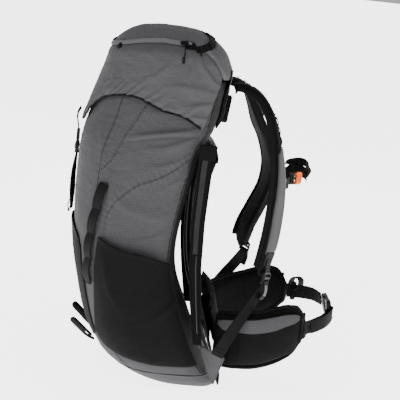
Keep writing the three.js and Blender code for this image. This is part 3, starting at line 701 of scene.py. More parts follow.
def plate(
    name, outline, thick, material, body, matrix, holes=(), bevel=0.8, replaces=(),
    shape=None
):
    """A flat moulding cut from an outline with holes, bevelled; shape moves its points."""
    bm = bmesh.new()
    edges = []
    for loop in [outline, *holes]:
        vs = [bm.verts.new((x, y, -thick / 2)) for x, y in loop]
        edges += [bm.edges.new((vs[i], vs[(i + 1) % len(vs)])) for i in range(len(vs))]
    bmesh.ops.triangle_fill(bm, use_beauty=True, edges=edges)
    made = bmesh.ops.extrude_face_region(bm, geom=bm.faces[:])
    for v in made["geom"]:
        if isinstance(v, bmesh.types.BMVert):
            v.co.z += thick
    bmesh.ops.recalc_face_normals(bm, faces=bm.faces)
    sharp = [e for e in bm.edges if len(e.link_faces) == 2 and e.calc_face_angle(0) > 0.6]
    sharp = [e for e in sharp if abs(e.verts[0].co.z - e.verts[1].co.z) < 1e-6]
    if bevel:
        bmesh.ops.bevel(bm, geom=sharp, offset=bevel, segments=2, profile=0.6, affect="EDGES")
    if shape:
        for v in bm.verts:
            v.co = shape(v.co)
    for v in bm.verts:
        v.co = matrix @ v.co
    mesh = bpy.data.meshes.new(name)
    for f in bm.faces:
        f.smooth = False
    for v in bm.verts:
        v.co = Vector((v.co.x, v.co.y, v.co.z - FOOT)) * 0.001
    bm.to_mesh(mesh)
    bm.free()
    mesh.materials.append(material)
    obj = bpy.data.objects.new(name, mesh)
    bpy.context.scene.collection.objects.link(obj)
    settle(obj, body, replaces)
    return obj


def rounded(length, width, radius, x=0.0, y=0.0, steps=5):
    a, b = length / 2 - radius, width / 2 - radius
    out = []
    for cx, cy, start in ((a, b, 0), (-a, b, 90), (-a, -b, 180), (a, -b, 270)):
        for k in range(steps + 1):
            t = math.radians(start + 90 * k / steps)
            out.append((x + cx + radius * math.cos(t), y + cy + radius * math.sin(t)))
    return out


def placed(at, along, normal):
    """The matrix that puts a moulding's X along one direction and its Z along another."""
    x = Vector(along).normalized()
    z = Vector(normal)
    z = (z - x * z.dot(x)).normalized()
    y = z.cross(x)
    m = Matrix((x, y, z)).transposed().to_4x4()
    m.translation = Vector(at)
    return m


def noisy(points, scale, seed=0.0, octaves=3):
    """Smooth noise, from about -1 to 1, at drawing points."""
    flat = np.asarray(points, float).reshape(-1, 3) / scale
    out = [
        noise.fractal(
            Vector((p[0] + seed, p[1] - seed, p[2] + 2 * seed)), 0.9, 2.1, octaves
        ) for p in flat
    ]
    return np.array(out).reshape(np.asarray(points).shape[:-1])


def near_line(x, z, path):
    """Distance from a line drawn in side view, signed by side, and the fraction along it."""
    path = np.asarray(path, float)
    best = np.full(x.shape, 1e9)
    sign = np.ones(x.shape)
    place = np.zeros(x.shape)
    steps = np.linalg.norm(np.diff(path, axis=0), axis=1)
    total = steps.sum()
    done = 0.0
    for (ax, az), (bx, bz), step in zip(path, path[1:], steps):
        t = np.clip(((x - ax) * (bx - ax) + (z - az) * (bz - az)) / step**2, 0, 1)
        dx, dz = x - (ax + (bx - ax) * t), z - (az + (bz - az) * t)
        d = np.hypot(dx, dz)
        closer = d < best
        best = np.where(closer, d, best)
        sign = np.where(closer, np.sign((bx - ax) * dz - (bz - az) * dx), sign)
        place = np.where(closer, (done + t * step) / total, place)
        done += step
    return best * sign, place


# ---------- the bag's and lid's outer surfaces, as in the drawing ----------
BAG_ROWS = [
    # z, xf, xb, w
    (22, -30, 65, 62),
    (27, -52, 69, 84),
    (36, -76, 70, 104),
    (50, -104, 65, 120),
    (74, -136, 46, 136),
    (105, -157, 29, 143),
    (140, -172, 13, 146),
    (200, -188, -12, 148),
    (260, -200, -25, 148),
    (330, -206, -19, 147),
    (400, -206, -6, 144),
    (432, -204, -1, 141),
    (455, -200, 9, 138),
    (476, -194, 19, 134),
    (505, -186, 26, 128),
    (530, -180, 29, 121),
    (565, -174, 35, 114),
]
LID_ROWS = [
    (450, -210, 30, 146),
    (480, -202, 33, 143),
    (510, -193, 36, 138),
    (545, -182, 38.5, 131),
    (575, -173, 38.5, 124),
    (595, -166, 32, 116),
    (608, -158, 23, 106),
    (618, -149, 13, 94),
    (628, -134, -1, 76),
    (635, -116, -20, 54),
    (638, -96, -41, 28),
]


def profile(rows, at):
    """The section sizes at heights, from Catmull-Rom curves through the rows."""
    r = np.array(rows, float)
    n = len(r)
    s = np.linspace(0, n - 1, 3000)
    i = np.minimum(s.astype(int), n - 2)
    f = (s - i)[:, None]
    a, b, d, e = (r[np.clip(i + k, 0, n - 1)] for k in (-1, 0, 1, 2))
    v = b + 0.5 * f * (d - a + f * (2 * a - 5 * b + 4 * d - e + f * (3 * (b - d) + e - a)))
    return [np.interp(at, v[:, 0], v[:, k]) for k in (1, 2, 3)]


def section(rows, angle, z):
    """A point on the surface: angle 0 is the back, -90 the right side, 180 the front."""
    angle, z = np.broadcast_arrays(np.asarray(angle, float), np.asarray(z, float))
    xf, xb, w = profile(rows, z)
    middle = lerp(xf, xb, 0.56)
    c, d = np.cos(np.radians(angle)), np.sin(np.radians(angle))
    power = np.where(c >= 0, 2 / 4, 2 / 2.6)
    reach = np.where(c >= 0, xb - middle, middle - xf)
    x = middle + np.sign(c) * reach * np.abs(c) ** power
    y = w * np.sign(d) * np.abs(d) ** power
    return np.stack((x, y, z), -1)


def bag_at(angle, z):
    return section(BAG_ROWS, angle, z)


def lid_at(angle, z):
    return section(LID_ROWS, angle, z)


def table(pairs, t):
    x, y = zip(*pairs)
    return np.interp(t, x, y)


def even_angles(rows, start, end, count, z):
    """Angles that give evenly spaced points round a section."""
    t = np.linspace(start, end, 900)
    p = section(rows, t, np.full(900, float(z)))
    s = np.concatenate(([0], np.cumsum(np.linalg.norm(np.diff(p, axis=0), axis=1))))
    return np.interp(np.linspace(0, s[-1], count), s, t)


def level_normals(points):
    n = grid_normals(points)
    n[..., 2] = 0
    return unit(n)


def side_y(rows, x, z):
    """Half width of the surface at a place in side view."""
    xf, xb, w = profile(rows, z)
    middle = lerp(xf, xb, 0.56)
    back = x >= middle
    reach = np.where(back, xb - middle, middle - xf)
    power = np.where(back, 4.0, 2.6)
    ratio = np.clip(np.abs((x - middle) / reach), 0, 0.999)
    return w * (1 - ratio**power) ** (1 / power)


# Lines in side view: the sewn seams and the folds that the straps and the load pull in.
SEAM_FRONT = [(-95, 531), (-97, 522), (-120, 481), (-131, 462), (-151, 418), (-163, 402)]
SEAM_SIDE = [
    (4, 452), (-2, 447), (-29, 425), (-51, 409), (-71, 397), (-97, 386), (-110, 378), (-124, 365),
    (-138, 351), (-145, 338), (-150, 324), (-152, 294)
]
TUCK = [(-131, 451), (-95, 459), (-61, 466), (-25, 468), (6, 472)]
FOLDS = [
    # path, width, height
    ([(8, 486), (-30, 478), (-70, 470), (-112, 462)], 7, 2.6),
    ([(10, 478), (-25, 462), (-62, 448), (-100, 440)], 9, 2.8),
    ([(8, 462), (-18, 438), (-50, 422), (-88, 410)], 8, 2.2),
    ([(2, 448), (-14, 418), (-34, 396), (-60, 380)], 7, 2.4),
    ([(-2, 430), (-14, 400), (-26, 366), (-42, 338)], 8, 2.2),
    ([(10, 500), (-20, 506), (-60, 508), (-96, 500)], 8, 2.0),
    ([(-150, 360), (-120, 340), (-84, 330), (-46, 326)], 12, 2.4),
    ([(-160, 420), (-150, 380), (-146, 340), (-148, 300)], 8, 2.2),
    ([(-172, 470), (-166, 430), (-164, 380), (-168, 330)], 9, 2.4),
    ([(-30, 320), (-60, 300), (-104, 286), (-140, 280)], 12, 2.0),
]


def crease(d, width, height):
    """A fold's rise: steep on one side and soft on the other."""
    soft = np.exp(-((np.maximum(d, 0) / width) ** 2))
    steep = np.exp(-((np.minimum(d, 0) / (width * 0.4)) ** 2))
    return height * soft * steep


def bag_relief(points, seams=()):
    """How far the bag's cloth stands off its drawn surface, from its folds, seams and slack."""
    x, y, z = points[..., 0], points[..., 1], points[..., 2]
    side = np.clip((np.abs(y) - 40) / 60, 0, 1)
    lift = 1.0 * noisy(points, 55, 3.0, 2) + 0.55 * noisy(points * (1, 1, 1.8), 16, 9.0, 2)
    for path, width, height in FOLDS:
        d, t = near_line(x, z, path)
        lift = lift + side * crease(d, width, height) * np.sin(
            np.pi * np.clip(t, 0.04, 0.96)
        ) ** 0.7
    for path in (SEAM_FRONT, SEAM_SIDE):
        d, t = near_line(x, z, path)
        pucker = 0.5 * np.sin(t * 150) * np.exp(-((d / 9) ** 2))
        lift = lift + side * (
            pucker - 1.5 * np.exp(-((d / 1.6) ** 2)) + 0.7 * np.exp(-(((d - 3.4) / 2.2) ** 2))
        )
    d, t = near_line(x, z, TUCK)
    lift = lift + side * (
        2.4 * np.exp(-(((d - 5) / 5) ** 2)) - 2.0 * np.exp(-(((d + 1) / 2.0) ** 2))
    ) * np.sin(np.pi * np.clip(t, 0.03, 0.97)) ** 0.5
    for edge in seams:
        e = np.abs(edge)
        lift = lift - 1.6 * np.exp(-((e / 1.8) ** 2)) + 0.7 * np.exp(-(((e - 4.5) / 2.5) ** 2))
        lift = lift + 0.45 * np.sin(z * 0.55) * np.exp(-((e / 9) ** 2))
    return lift


BASE_RIM, RIM, BACK_RIM = 58.0, 530.0, 559.0
BACK_EDGE, FRONT_EDGE = 50.0, 125.0


def wall(name, start, end, columns, top, rows, node, material):
    """One of the bag's wall panels, between two upright seams."""
    angles = even_angles(BAG_ROWS, start, end, columns, 300)
    z = np.linspace(BASE_RIM, top, rows)
    p = bag_at(angles[None], z[:, None])
    n = level_normals(p)
    arc = np.zeros(p.shape[:2])
    arc[:, 1:] = np.cumsum(np.linalg.norm(np.diff(p, axis=1), axis=2), axis=1)
    low = (p[..., 2] - BASE_RIM)
    lift = bag_relief(p, (arc, arc[:, -1:] - arc))
    lift = lift - 1.2 * np.exp(-((low / 1.8) ** 2))
    slack = 0.35 if "back" in node else 1.0
    return sheet(
        name, p + n * (lift * slack)[..., None], 1.6, material, "bag", node,
        inner=LINING, normals=n
    )


def build_walls():
    wall("front_panel_cloth", FRONT_EDGE, 360 - FRONT_EDGE, 100, RIM, 190, "front_panel", SIDE)
    wall("side_panel_right_cloth", -FRONT_EDGE, -BACK_EDGE, 110, RIM, 260, "side_panel_right", SIDE)
    wall("side_panel_left_cloth", BACK_EDGE, FRONT_EDGE, 110, RIM, 260, "side_panel_left", SIDE)
    wall("back_panel_cloth", -BACK_EDGE, BACK_EDGE, 70, BACK_RIM, 120, "back_panel", LINING)
    # The base: a pan from the walls' foot seam to its flat underside.
    angles = even_angles(BAG_ROWS, 0, 360, 193, 50)[:-1]
    z = np.concatenate((np.linspace(BASE_RIM, 30, 26), np.linspace(28.5, 22.3, 6)))
    p = bag_at(angles[None], z[:, None])
    n = level_normals(p)
    d = (BASE_RIM - p[..., 2])
    lift = 0.7 * noisy(p, 40, 5.0, 2) + 0.4 * noisy(p, 14, 2.0, 2) - 1.2 * np.exp(-((d / 1.8) ** 2))
    fade = np.clip((p[..., 2] - 23) / 12, 0, 1)
    p = p + n * (lift * fade)[..., None]
    centre = np.array((18.0, 0, 22.1))
    floor = [centre + (p[-1] - centre) * np.array((k, k, 0.3)) for k in (0.9, 0.7, 0.45, 0.2)]
    p = np.concatenate((p, np.array(floor)))
    rows, columns = p.shape[:2]
    inward = unit(np.array((-20.0, 0, 90)) - p)
    inner = p + inward * 1.8
    verts = np.concatenate(
        (p.reshape(-1, 3), inner.reshape(-1, 3), [centre], [centre + (0, 0, 1.8)])
    )
    count = rows * columns
    faces = grid_faces(rows, columns, wrap=True)
    faces += [tuple(reversed(f)) for f in grid_faces(rows, columns, wrap=True, start=count)]
    last = (rows - 1) * columns
    for c in range(columns):
        e = (c + 1) % columns
        faces.append((last + c, last + e, 2 * count))
        faces.append((count + last + e, count + last + c, 2 * count + 1))
        faces.append((c, e, count + e, count + c))
    span = np.concatenate((p, p[:, :1]), 1)
    uv = grid_uv(span).reshape(rows, columns + 1, 2)[:, :-1].reshape(-1, 2)
    uv = np.concatenate((uv, uv, [[0, 0]], [[0, 0]]))
    make("base_panel_cloth", verts, faces, SIDE, "bag", "base_panel", uv)


def side_line(path, rows=BAG_ROWS, side=-1, off=0.6, count=120):
    """A line in side view laid on the surface, and the surface's normals there."""
    p = curve(np.array([(x, 0, z) for x, z in path]), count)
    y = side * side_y(rows, p[:, 0], p[:, 2])
    line = np.stack((p[:, 0], y, p[:, 2]), -1)
    e = 1.0
    dx = side_y(rows, p[:, 0] + e, p[:, 2]) - side_y(rows, p[:, 0] - e, p[:, 2])
    dz = side_y(rows, p[:, 0], p[:, 2] + e) - side_y(rows, p[:, 0], p[:, 2] - e)
    n = unit(np.stack((-dx / 2, np.full(len(p), side * 1.0), -dz / 2), -1))
    return line + n * off, n


def on_cloth(line, normals):
    """A line lifted onto the bag's cloth, with its folds."""
    return line + normals * bag_relief(line)[:, None]


def build_seams():
    for side, word in ((-1, "right"), (1, "left")):
        rows = []
        for k, path in enumerate((SEAM_FRONT, SEAM_SIDE)):
            for j, off in enumerate((-2.2, 5.2)):
                shifted = [
                    (
                        x + (0.6 if k else 0.9) * off * 0.8, z + (0.9 if k else 0.35) * off * 0.8
                    ) for x,
                    z in path[1:-1]
                ]
                line, n = side_line(shifted, side=side, off=0.1, count=160)
                rows.append(stitches(f"s{k}{j}", on_cloth(line, n), n, THREAD_LIGHT, "bag"))
        for edge in (-BACK_EDGE - 2.4, -FRONT_EDGE + 2.6):
            z = np.linspace(BASE_RIM + 6, RIM - 30, 260)
            p = bag_at(side * -edge, z)
            n = unit(np.stack((p[:, 0] + 60, p[:, 1], 0 * z), -1))
            rows.append(stitches(f"e{edge}", on_cloth(p, n), n, THREAD_LIGHT, "bag"))
        join(f"panel_stitches_{word}", rows)
    # Grosgrain binding down the back seams.
    for side, word in ((-1, "right"), (1, "left")):
        z = np.linspace(BASE_RIM + 2, 526, 60)
        p = bag_at(side * (BACK_EDGE - 0.4), z)
        n = unit(np.stack((np.full(60, 0.8), np.full(60, side * 0.6), 0 * z), -1))
        tube(f"back_seam_piping_{word}", p + n * 0.3, 0.9, THREAD_LIGHT, "bag", sides=8)


# ---------- pockets and trim on the bag ----------
def bulge(u, v):
    return np.sin(np.pi * np.clip(u, 0, 1)) ** 0.7 * np.clip(v, 0, 1) ** 0.5


def pocket_points(side, columns, rows, extra=0.0, v0=0.0, v1=1.0):
    u = np.linspace(0, 1, columns)[None]
    v = np.linspace(v0, v1, rows)[:, None]
    base = even_angles(BAG_ROWS, 143.5, 50, columns, 130)[None]
    u = (143.5 - base) / 93.5
    bottom = table([(50, 78), (66, 77), (93, 76), (118, 84), (139, 98), (145, 125)], base)
    top = 248 + 38 * (1 - u) ** 1.3
    z = bottom + (top - bottom) * v
    front = lerp(143.5, 117.6, v**0.7)
    angles = front + (50 - front) * u
    p = bag_at(side * angles, z)
    n = level_normals(p) * (1 if side < 0 else -1)
    n = n * np.sign(n[..., 1:2] * side)
    u, v = np.broadcast_arrays(u, v)
    lift = 2.6 + 14.5 * bulge(u, v)
    slack = 1.3 * noisy(p * (1, 1, 0.6), 38, 7.0, 2) + 0.5 * noisy(p, 12, 1.0, 2)
    lift = lift + slack * np.sin(
        np.pi * np.clip(u, 0.02, 0.98)
    ) * np.clip((1 - v) * 6, 0.15, 1) + extra
    # Load folds that hang from the pocket's top corners.
    for path, width, height in (
        ([(-8, 250), (-30, 190), (-66, 150)], 9, 2.2),
        ([(-150, 270), (-130, 200), (-96, 150)], 10, 2.0)
    ):
        d, t = near_line(p[..., 0], p[..., 2], path)
        lift = lift + crease(d, width, height) * np.sin(np.pi * np.clip(t, 0.03, 0.97))
    return p + n * lift[..., None], n


def build_pockets():
    for side, word in ((-1, "right"), (1, "left")):
        p, n = pocket_points(side, 90, 110)
        sheet(
            f"side_pocket_{word}_knit", p, 1.3, STRETCH, "bag", f"side_pocket_{word}",
            normals=n
        )
        rim = p[-1, 1:-1] + n[-1, 1:-1] * -0.6
        strap(
            f"side_pocket_{word}_binding", rim[::3], [(0, 0, 1)], 9, 2.6, BINDING, "bag", count=70
        )
        q = p[-3, 2:-2] - (0, 0, 3.0)
        stitches(
            f"side_pocket_{word}_hem_stitches", q + n[-3, 2:-2] * 0.7, n[-3, 2:-2], THREAD, "bag"
        )
        foot = p[1, 1:-1] + n[1, 1:-1] * 0.6
        stitches(f"side_pocket_{word}_foot_stitches", foot + (0, 0, 2.0), n[1, 1:-1], THREAD, "bag")
    # The stretch pocket on the front.
    angles = even_angles(BAG_ROWS, 145, 215, 80, 190)[None]
    u = (angles - 145) / 70
    v = np.linspace(0, 1, 90)[:, None]
    z = lerp(92 + 22 * (2 * u - 1) ** 2, 292 - 30 * (2 * u - 1) ** 2, v)
    p = bag_at(angles, z)
    n = level_normals(p)
    n = n * -np.sign(n[..., :1])
    lift = 1.6 + 2.6 * bulge(*np.broadcast_arrays(u, v))
    lift = lift + (
        0.6 * noisy(p, 34, 4.0, 2) + 0.3 * noisy(p, 11, 6.0, 2)
    ) * np.clip(np.minimum(u, 1 - u) * 8, 0, 1)
    p = p + n * lift[..., None]
    sheet("front_pocket_knit", p, 1.3, STRETCH_DIM, "bag", "front_pocket", normals=n)
    strap(
        "front_pocket_binding", p[-1, 1:-1:3] - n[-1, 1:-1:3] * 0.6, [(0, 0, 1)], 8, 1.8, ELASTIC,
        "bag", count=60
    )
    for k, q in enumerate((p[:, 1], p[:, -2])):
        m = n[:, 1] if k == 0 else n[:, -2]
        tube(f"front_pocket_piping_{k}", (q - m * 0.3)[::4], 0.9, BINDING, "bag", sides=8)


def build_trim():
    for side, word in ((-1, "right"), (1, "left")):
        # Daisy chain: webbing tacked down between loops that stand off.
        t = np.linspace(0, 1, 130)
        angle = side * lerp(117, 135, t)
        z = lerp(377.0, 204.0, t)
        p = bag_at(angle, z)
        e = bag_at(angle + 0.5, z) - bag_at(angle - 0.5, z)
        out = unit(np.cross(e, (0, 0, 1.0)))
        out = out * np.sign(np.sum(out * (p - (-70, 0, 0)) * (1, 1, 0), axis=1, keepdims=True))
        lift = 2.6 + 4.6 * np.abs(np.sin(np.pi * 4 * t)) ** 0.8
        line = p + out * lift[:, None]
        across = np.stack((-out[:, 1], out[:, 0], 0 * t), -1)
        swept(
            f"daisy_chain_{word}_webbing", line, across, flat_section(18.5, 1.9), WEBBING_BLACK,
            "bag", f"daisy_chain_{word}"
        )
        tacks = []
        for k in range(5):
            i = min(int(k / 4 * 129), 128)
            c, a, o = line[i], across[i], out[i]
            for dz in (-2.2, 2.2):
                ends = [c + a * s * 8.0 + o * 1.1 + (0, 0, dz) for s in (-1, 1)]
                tacks.append(
                    tube(f"tack{k}", even(ends, 12), 0.75, THREAD, "bag", sides=6, smooth=False)
                )
        join(f"daisy_chain_{word}_tacks", tacks)
        # Loops at the foot of the front.
        loop = [
            (-149, 38, 83), (-162, 41, 90), (-177, 45, 103), (-191, 47, 117), (-188, 50, 121),
            (-173, 48, 109), (-154, 44, 91)
        ]
        loop = [(x, side * y, z) for x, y, z in loop]
        grip = loop_sleeve(f"pole_loop_{word}_sleeve", curve(loop, 60))
        free_cord(
            f"pole_loop_{word}_cord", loop, 2.4, "bag",
            f"pole_loop_{word}"
        )


# ---------- collar under the lid ----------
def build_collar():
    mouth = np.array((-80.0, 0, 0))
    table_rows = [(505, 0.01), (526, 0.05), (537, 0.21), (548, 0.36), (556, 0.48)]
    z = np.concatenate((np.linspace(505, 530, 12), np.linspace(531, 558.5, 26)))
    pull = table(table_rows, z)
    a = np.linspace(0, 360, 241)[:-1]
    p = bag_at(a[None], np.minimum(z, 530)[:, None])
    to = mouth * (1, 1, 0) - p * (1, 1, 0)
    gathers = np.clip((z - 530) / 28, 0, 1)[:, None] * (
        1.1 * np.sin(np.radians(a) * 44)[None] + 0.6 * np.sin(np.radians(a) * 27 + 1)[None]
    )
    p = p + to * pull[:, None, None] + unit(to) * (5.4 - gathers)[..., None]
    p[..., 2] = z[:, None] + 0 * a
    inner = p + unit(to) * 1.1
    rows, columns = p.shape[:2]
    count = rows * columns
    faces = grid_faces(rows, columns, True) + [
        tuple(reversed(f)) for f in grid_faces(rows, columns, True, count)
    ]
    for r in (0, rows - 1):
        s = r * columns
        faces += [
            (
                s + c, s + (c + 1) % columns, count + s + (c + 1) % columns, count + s + c
            ) for c in range(columns)
        ]
    uv = grid_uv(p)
    make(
        "top_collar_cloth", np.concatenate((p.reshape(-1, 3), inner.reshape(-1, 3))), faces, LINING,
        "bag", "top_collar", np.concatenate((uv, uv))
    )
    ring = p[-1].copy()
    ring[:, 2] = 559.5
    ring = ring + unit(mouth * (1, 1, 0) - ring * (1, 1, 0)) * 0.6
    tube(
        "collar_drawcord_sheath", ring[::8], 1.6, CORD, "bag", "collar_drawcord",
        closed=True, sides=8
    )
    c = (-164.5, 0.0)
    spin(
        "cord_lock_body_moulding",
        [
            (0, -7.4), (4.6, -7.4), (5.9, -6.2), (6.2, -3.0), (5.4, 0), (6.2, 3.0), (5.9, 6.2),
            (4.6, 7.4), (0, 7.4)
        ],
        c, 546, PLASTIC, "bag", "cord_lock_body"
    )
    spin(
        "cord_lock_button_moulding",
        [(0, -2.4), (4.0, -2.4), (4.7, -1.4), (4.7, 1.2), (3.6, 2.3), (0, 1.7)], c, 560, PLASTIC,
        "collar_button", "cord_lock_button"
    )


def spin(name, outline, centre, z0, material, body, replaces=(), sides=28):
    """A turned moulding about an upright line; outline is (radius, height) pairs."""
    verts, faces = [], []
    for r, h in outline:
        for k in range(sides):
            t = 2 * math.pi * k / sides
            ribbed = r * (1 + 0.035 * math.cos(t * 7)) if r > 4.5 else max(r, 0.01)
            verts.append(
                (centre[0] + ribbed * math.cos(t), centre[1] + ribbed * math.sin(t), z0 + h)
            )
    faces = grid_faces(len(outline), sides, True)
    return make(name, verts, faces, material, body, replaces)


# ---------- lid ----------
HEM = [
    (52, 477), (70, 483), (87, 501), (97, 514), (110, 525), (126, 525), (145, 516), (158, 503),
    (170, 476), (180, 462)
]
LID_SEAM = [
    (50, 563.5), (56, 574), (63, 590), (72, 604), (84, 614), (100, 616), (120, 612), (150, 603),
    (180, 598)
]
LID_FOLDS = [
    ([(30, 545), (4, 560), (-16, 582), (-26, 604)], 7, 2.8),
    ([(34, 560), (16, 578), (0, 596), (-14, 612)], 6, 2.6),
    ([(34, 520), (10, 524), (-20, 520), (-50, 510)], 9, 2.6),
    ([(32, 505), (0, 500), (-30, 500), (-56, 506)], 7, 2.0),
    ([(26, 538), (-10, 545), (-46, 548), (-84, 544)], 11, 2.4),
    ([(-60, 606), (-70, 580), (-92, 560), (-120, 548)], 10, 2.2),
    ([(-150, 596), (-158, 570), (-160, 545), (-172, 510)], 7, 2.2),
    ([(-40, 610), (-34, 585), (-38, 560), (-30, 535)], 8, 2.2),
]
LID_CORNER = [(-148, 606), (-154, 590), (-162, 566), (-172, 540)]


def lid_relief(points):
    x, y, z = points[..., 0], points[..., 1], points[..., 2]
    side = np.clip((np.abs(y) - 30) / 50, 0, 1)
    lift = 1.1 * noisy(points, 48, 13.0, 2) + 0.6 * noisy(points * (1, 1, 1.5), 15, 4.0, 2)
    for path, width, height in LID_FOLDS:
        d, t = near_line(x, z, path)
        lift = lift + side * crease(d, width, height) * np.sin(
            np.pi * np.clip(t, 0.04, 0.96)
        ) ** 0.7
    d, t = near_line(x, z, LID_CORNER)
    return lift + side * (-1.5 * np.exp(-((d / 1.7) ** 2)) + 0.6 * np.exp(-(((d - 4) / 2.2) ** 2)))


def from_back(angle):
    return 180 - np.abs(180 - np.mod(angle, 360))


def seam_z(angle):
    raw = table(LID_SEAM, from_back(angle))
    return np.maximum(raw, 563.5)


def build_lid():
    # The skirt hangs from the zip seam to an elastic hem, whose dark strip is also a painted shadow line
    # under the lid's overhang.
    columns, rows = 300, 96
    v = np.linspace(0, 1, rows)[:, None]
    start = lerp(68, 53, v)
    base = even_angles(LID_ROWS, 60, 300, columns, 540)
    f = (base - 60) / 240
    angle = start + (360 - 2 * start) * f[None]
    smooth = np.array(
        [np.mean([table(HEM, from_back(a + k)) for k in (-5, -2.5, 0, 2.5, 5)]) for a in angle[0]]
    )
    hem = smooth[None] + 0 * v
    top = seam_z(angle) - 1.0
    z = hem + (top - hem) * v
    p = lid_at(angle, z)
    n = level_normals(p)
    centre = np.array((-70.0, 0, 0))
    n = n * np.sign(np.sum(n * (p - centre) * (1, 1, 0), axis=-1, keepdims=True))
    d_hem = (z - hem)
    d_top = (top - z)
    lift = lid_relief(p) * np.clip(d_top / 10, 0.1, 1) * np.clip(d_hem / 10, 0.25, 1)
    arc = np.zeros(p.shape[:2])
    arc[:, 1:] = np.cumsum(np.linalg.norm(np.diff(p, axis=1), axis=2), axis=1)
    gather = np.exp(-((d_hem / 20) ** 2))
    lift = lift + gather * (
        1.0 * np.sin(arc * 2 * math.pi / 17) + 0.6 * np.sin(arc * 2 * math.pi / 11.3 + 1)
    ) - 1.6 * np.exp(-((d_hem / 7) ** 2))
    lift = lift - 1.3 * np.exp(-((d_top / 2.5) ** 2)) + 1.5 * np.exp(-(((d_top - 14) / 12) ** 2))
    p = p + n * lift[..., None]
    sheet(
        "lid_side_cloth", p, 1.4, LID_SIDE, "lid", "lid_side_panel", inner=LINING,
        normals=n
    )
    # The hem's dark strip: the elastic, and also a painted shadow line under the overhang.
    strap(
        "lid_hem_elastic_and_painted_shadow", p[0, 1:-1:4] - n[0, 1:-1:4] * 0.4 - (0, 0, 1.0), [(0, 0, 1)], 3.6, 2.0,
        BINDING, "lid", count=190
    )
    stitches("lid_hem_stitches", p[7, 2:-2] + n[7, 2:-2] * 0.2, n[7, 2:-2], THREAD_LIGHT, "lid")
    # The top: a dome from the zip seam up, carried down the back to the hinge.
    columns = 260
    base = even_angles(LID_ROWS, 0, 360, columns + 1, 590)[:-1]
    levels = np.concatenate((np.linspace(0, 0.9, 40), np.linspace(0.925, 1.0, 6)))
    z0 = np.array(
        [np.mean([max(table(LID_SEAM, from_back(a + k)), 563.5) for k in (-3, 0, 3)]) for a in base]
    )
    z = z0[None] + (638 - z0[None]) * levels[:, None]
    p = lid_at(base[None], z)
    outward = unit(p - (-70, 0, 540))
    d = (z - z0[None])
    lift = lid_relief(p) * np.clip(d / 12, 0, 1) - 1.0 * np.exp(-((d / 2.5) ** 2)) + 1.6 * np.exp(-(((d - 11) / 9) ** 2))
    lift = lift + 0.8 * noisy(p, 30, 21.0, 2) * np.clip(d / 14, 0, 1)
    p = p + outward * lift[..., None]
    middle = p[-1].mean(0) + (0, 0, 0.6)
    crown = [middle + (p[-1] - middle) * k + (0, 0, 0.5 * (1 - k * k)) for k in (0.75, 0.5, 0.25)]
    p = np.concatenate((p, np.array(crown)))
    rows, columns = p.shape[:2]
    inner = p + unit(np.array((-70.0, 0, 560)) - p) * 1.5
    count = rows * columns
    faces = grid_faces(rows, columns, True) + [
        tuple(reversed(f)) for f in grid_faces(rows, columns, True, count)
    ]
    last = (rows - 1) * columns
    for c in range(columns):
        e = (c + 1) % columns
        faces += [
            (last + c, last + e, 2 * count), (count + last + e, count + last + c, 2 * count + 1),
            (c, e, count + e, count + c)
        ]
    uv = p[..., :2].reshape(-1, 2) * 0.001
    uv = np.concatenate((uv, uv, [middle[:2] * 0.001], [middle[:2] * 0.001]))
    verts = np.concatenate(
        (p.reshape(-1, 3), inner.reshape(-1, 3), [middle + (0, 0, 0.5)], [middle - (0, 0, 1.2)])
    )
    make("lid_top_cloth", verts, faces, LID_TOP_PAINTED_LIT, "lid", "lid_top_panel", uv)
    # Zip along the seam, from the right over the front to the left.
    angles = np.linspace(274, 86, 260)
    z = seam_z(angles) - 0.5
    zp = lid_at(angles, z)
    out = unit((zp - (-70, 0, 0)) * (1, 1, 0) + (0, 0, 34.0))
    zipper("lid_zip", zp + out * 0.2, out, "lid", width=5.0)
    swept(
        "lid_zip_flap", zp + out * 2.3 + (0, 0, 1.6), unit(np.cross(out, np.gradient(zp, axis=0))),
        flat_section(8.0, 1.3), LID_TOP_PAINTED_LIT, "lid"
    )
    # Dark garages where the zip ends and at the front corners.
    for k, (side, at, wide) in enumerate(((-1, 150, 8), (1, 150, 8), (-1, 86, 7), (1, 86, 7))):
        a = np.linspace(at - 3.2, at + 3.2, 14)
        up = np.linspace(-wide, wide * 0.8, 14)
        q = lid_at((side * a)[None], (seam_z(side * a))[None] + up[:, None])
        m = unit((q - (-70, 0, 0)) * (1, 1, 0) + (0, 0, 20.0))
        u = np.abs(np.linspace(-1, 1, 14))[None]
        w = np.abs(np.linspace(-1, 1, 14))[:, None]
        q = q + m * (4.6 * np.sqrt(np.clip(1 - (u**4 + w**4) / 2, 0, 1)) - 0.4 + 0 * u)[..., None]
        sheet(f"zip_garage_{k}", q, 1.0, BLACKCLOTH, "lid", normals=m)
    underside()


def underside():
    a = np.linspace(0, 360, 97)[:-1]
    p = lid_at(a, np.full(96, 566.0))
    to = unit((np.array((-70.0, 0, 0)) - p) * (1, 1, 0))
    edge = p + to * 4.5
    rings = []
    for k, drop in ((1.0, 0), (0.85, 1.0), (0.6, 2.2), (0.3, 3.0)):
        ring = np.array((-70.0, 0, 0)) * (1 - k) + edge * k
        ring[:, 2] = 567 - drop + 0.5 * noisy(ring, 25, 2.0, 2)
        rings.append(ring)
    p = np.array(rings)
    rows, columns = p.shape[:2]
    count = rows * columns
    low = p - (0, 0, 1.0)
    faces = grid_faces(rows, columns, True) + [
        tuple(reversed(f)) for f in grid_faces(rows, columns, True, count)
    ]
    last = (rows - 1) * columns
    for c in range(columns):
        e = (c + 1) % columns
        faces += [
            (last + c, last + e, 2 * count), (count + last + e, count + last + c, 2 * count + 1),
            (c, e, count + e, count + c)
        ]
    verts = np.concatenate(
        (p.reshape(-1, 3), low.reshape(-1, 3), [(-70, 0, 563.8)], [(-70, 0, 562.8)])
    )
    uv = verts[:, :2] * 0.001
    make("lid_underside_cloth", verts, faces, LINING, "lid", "lid_underside", uv)


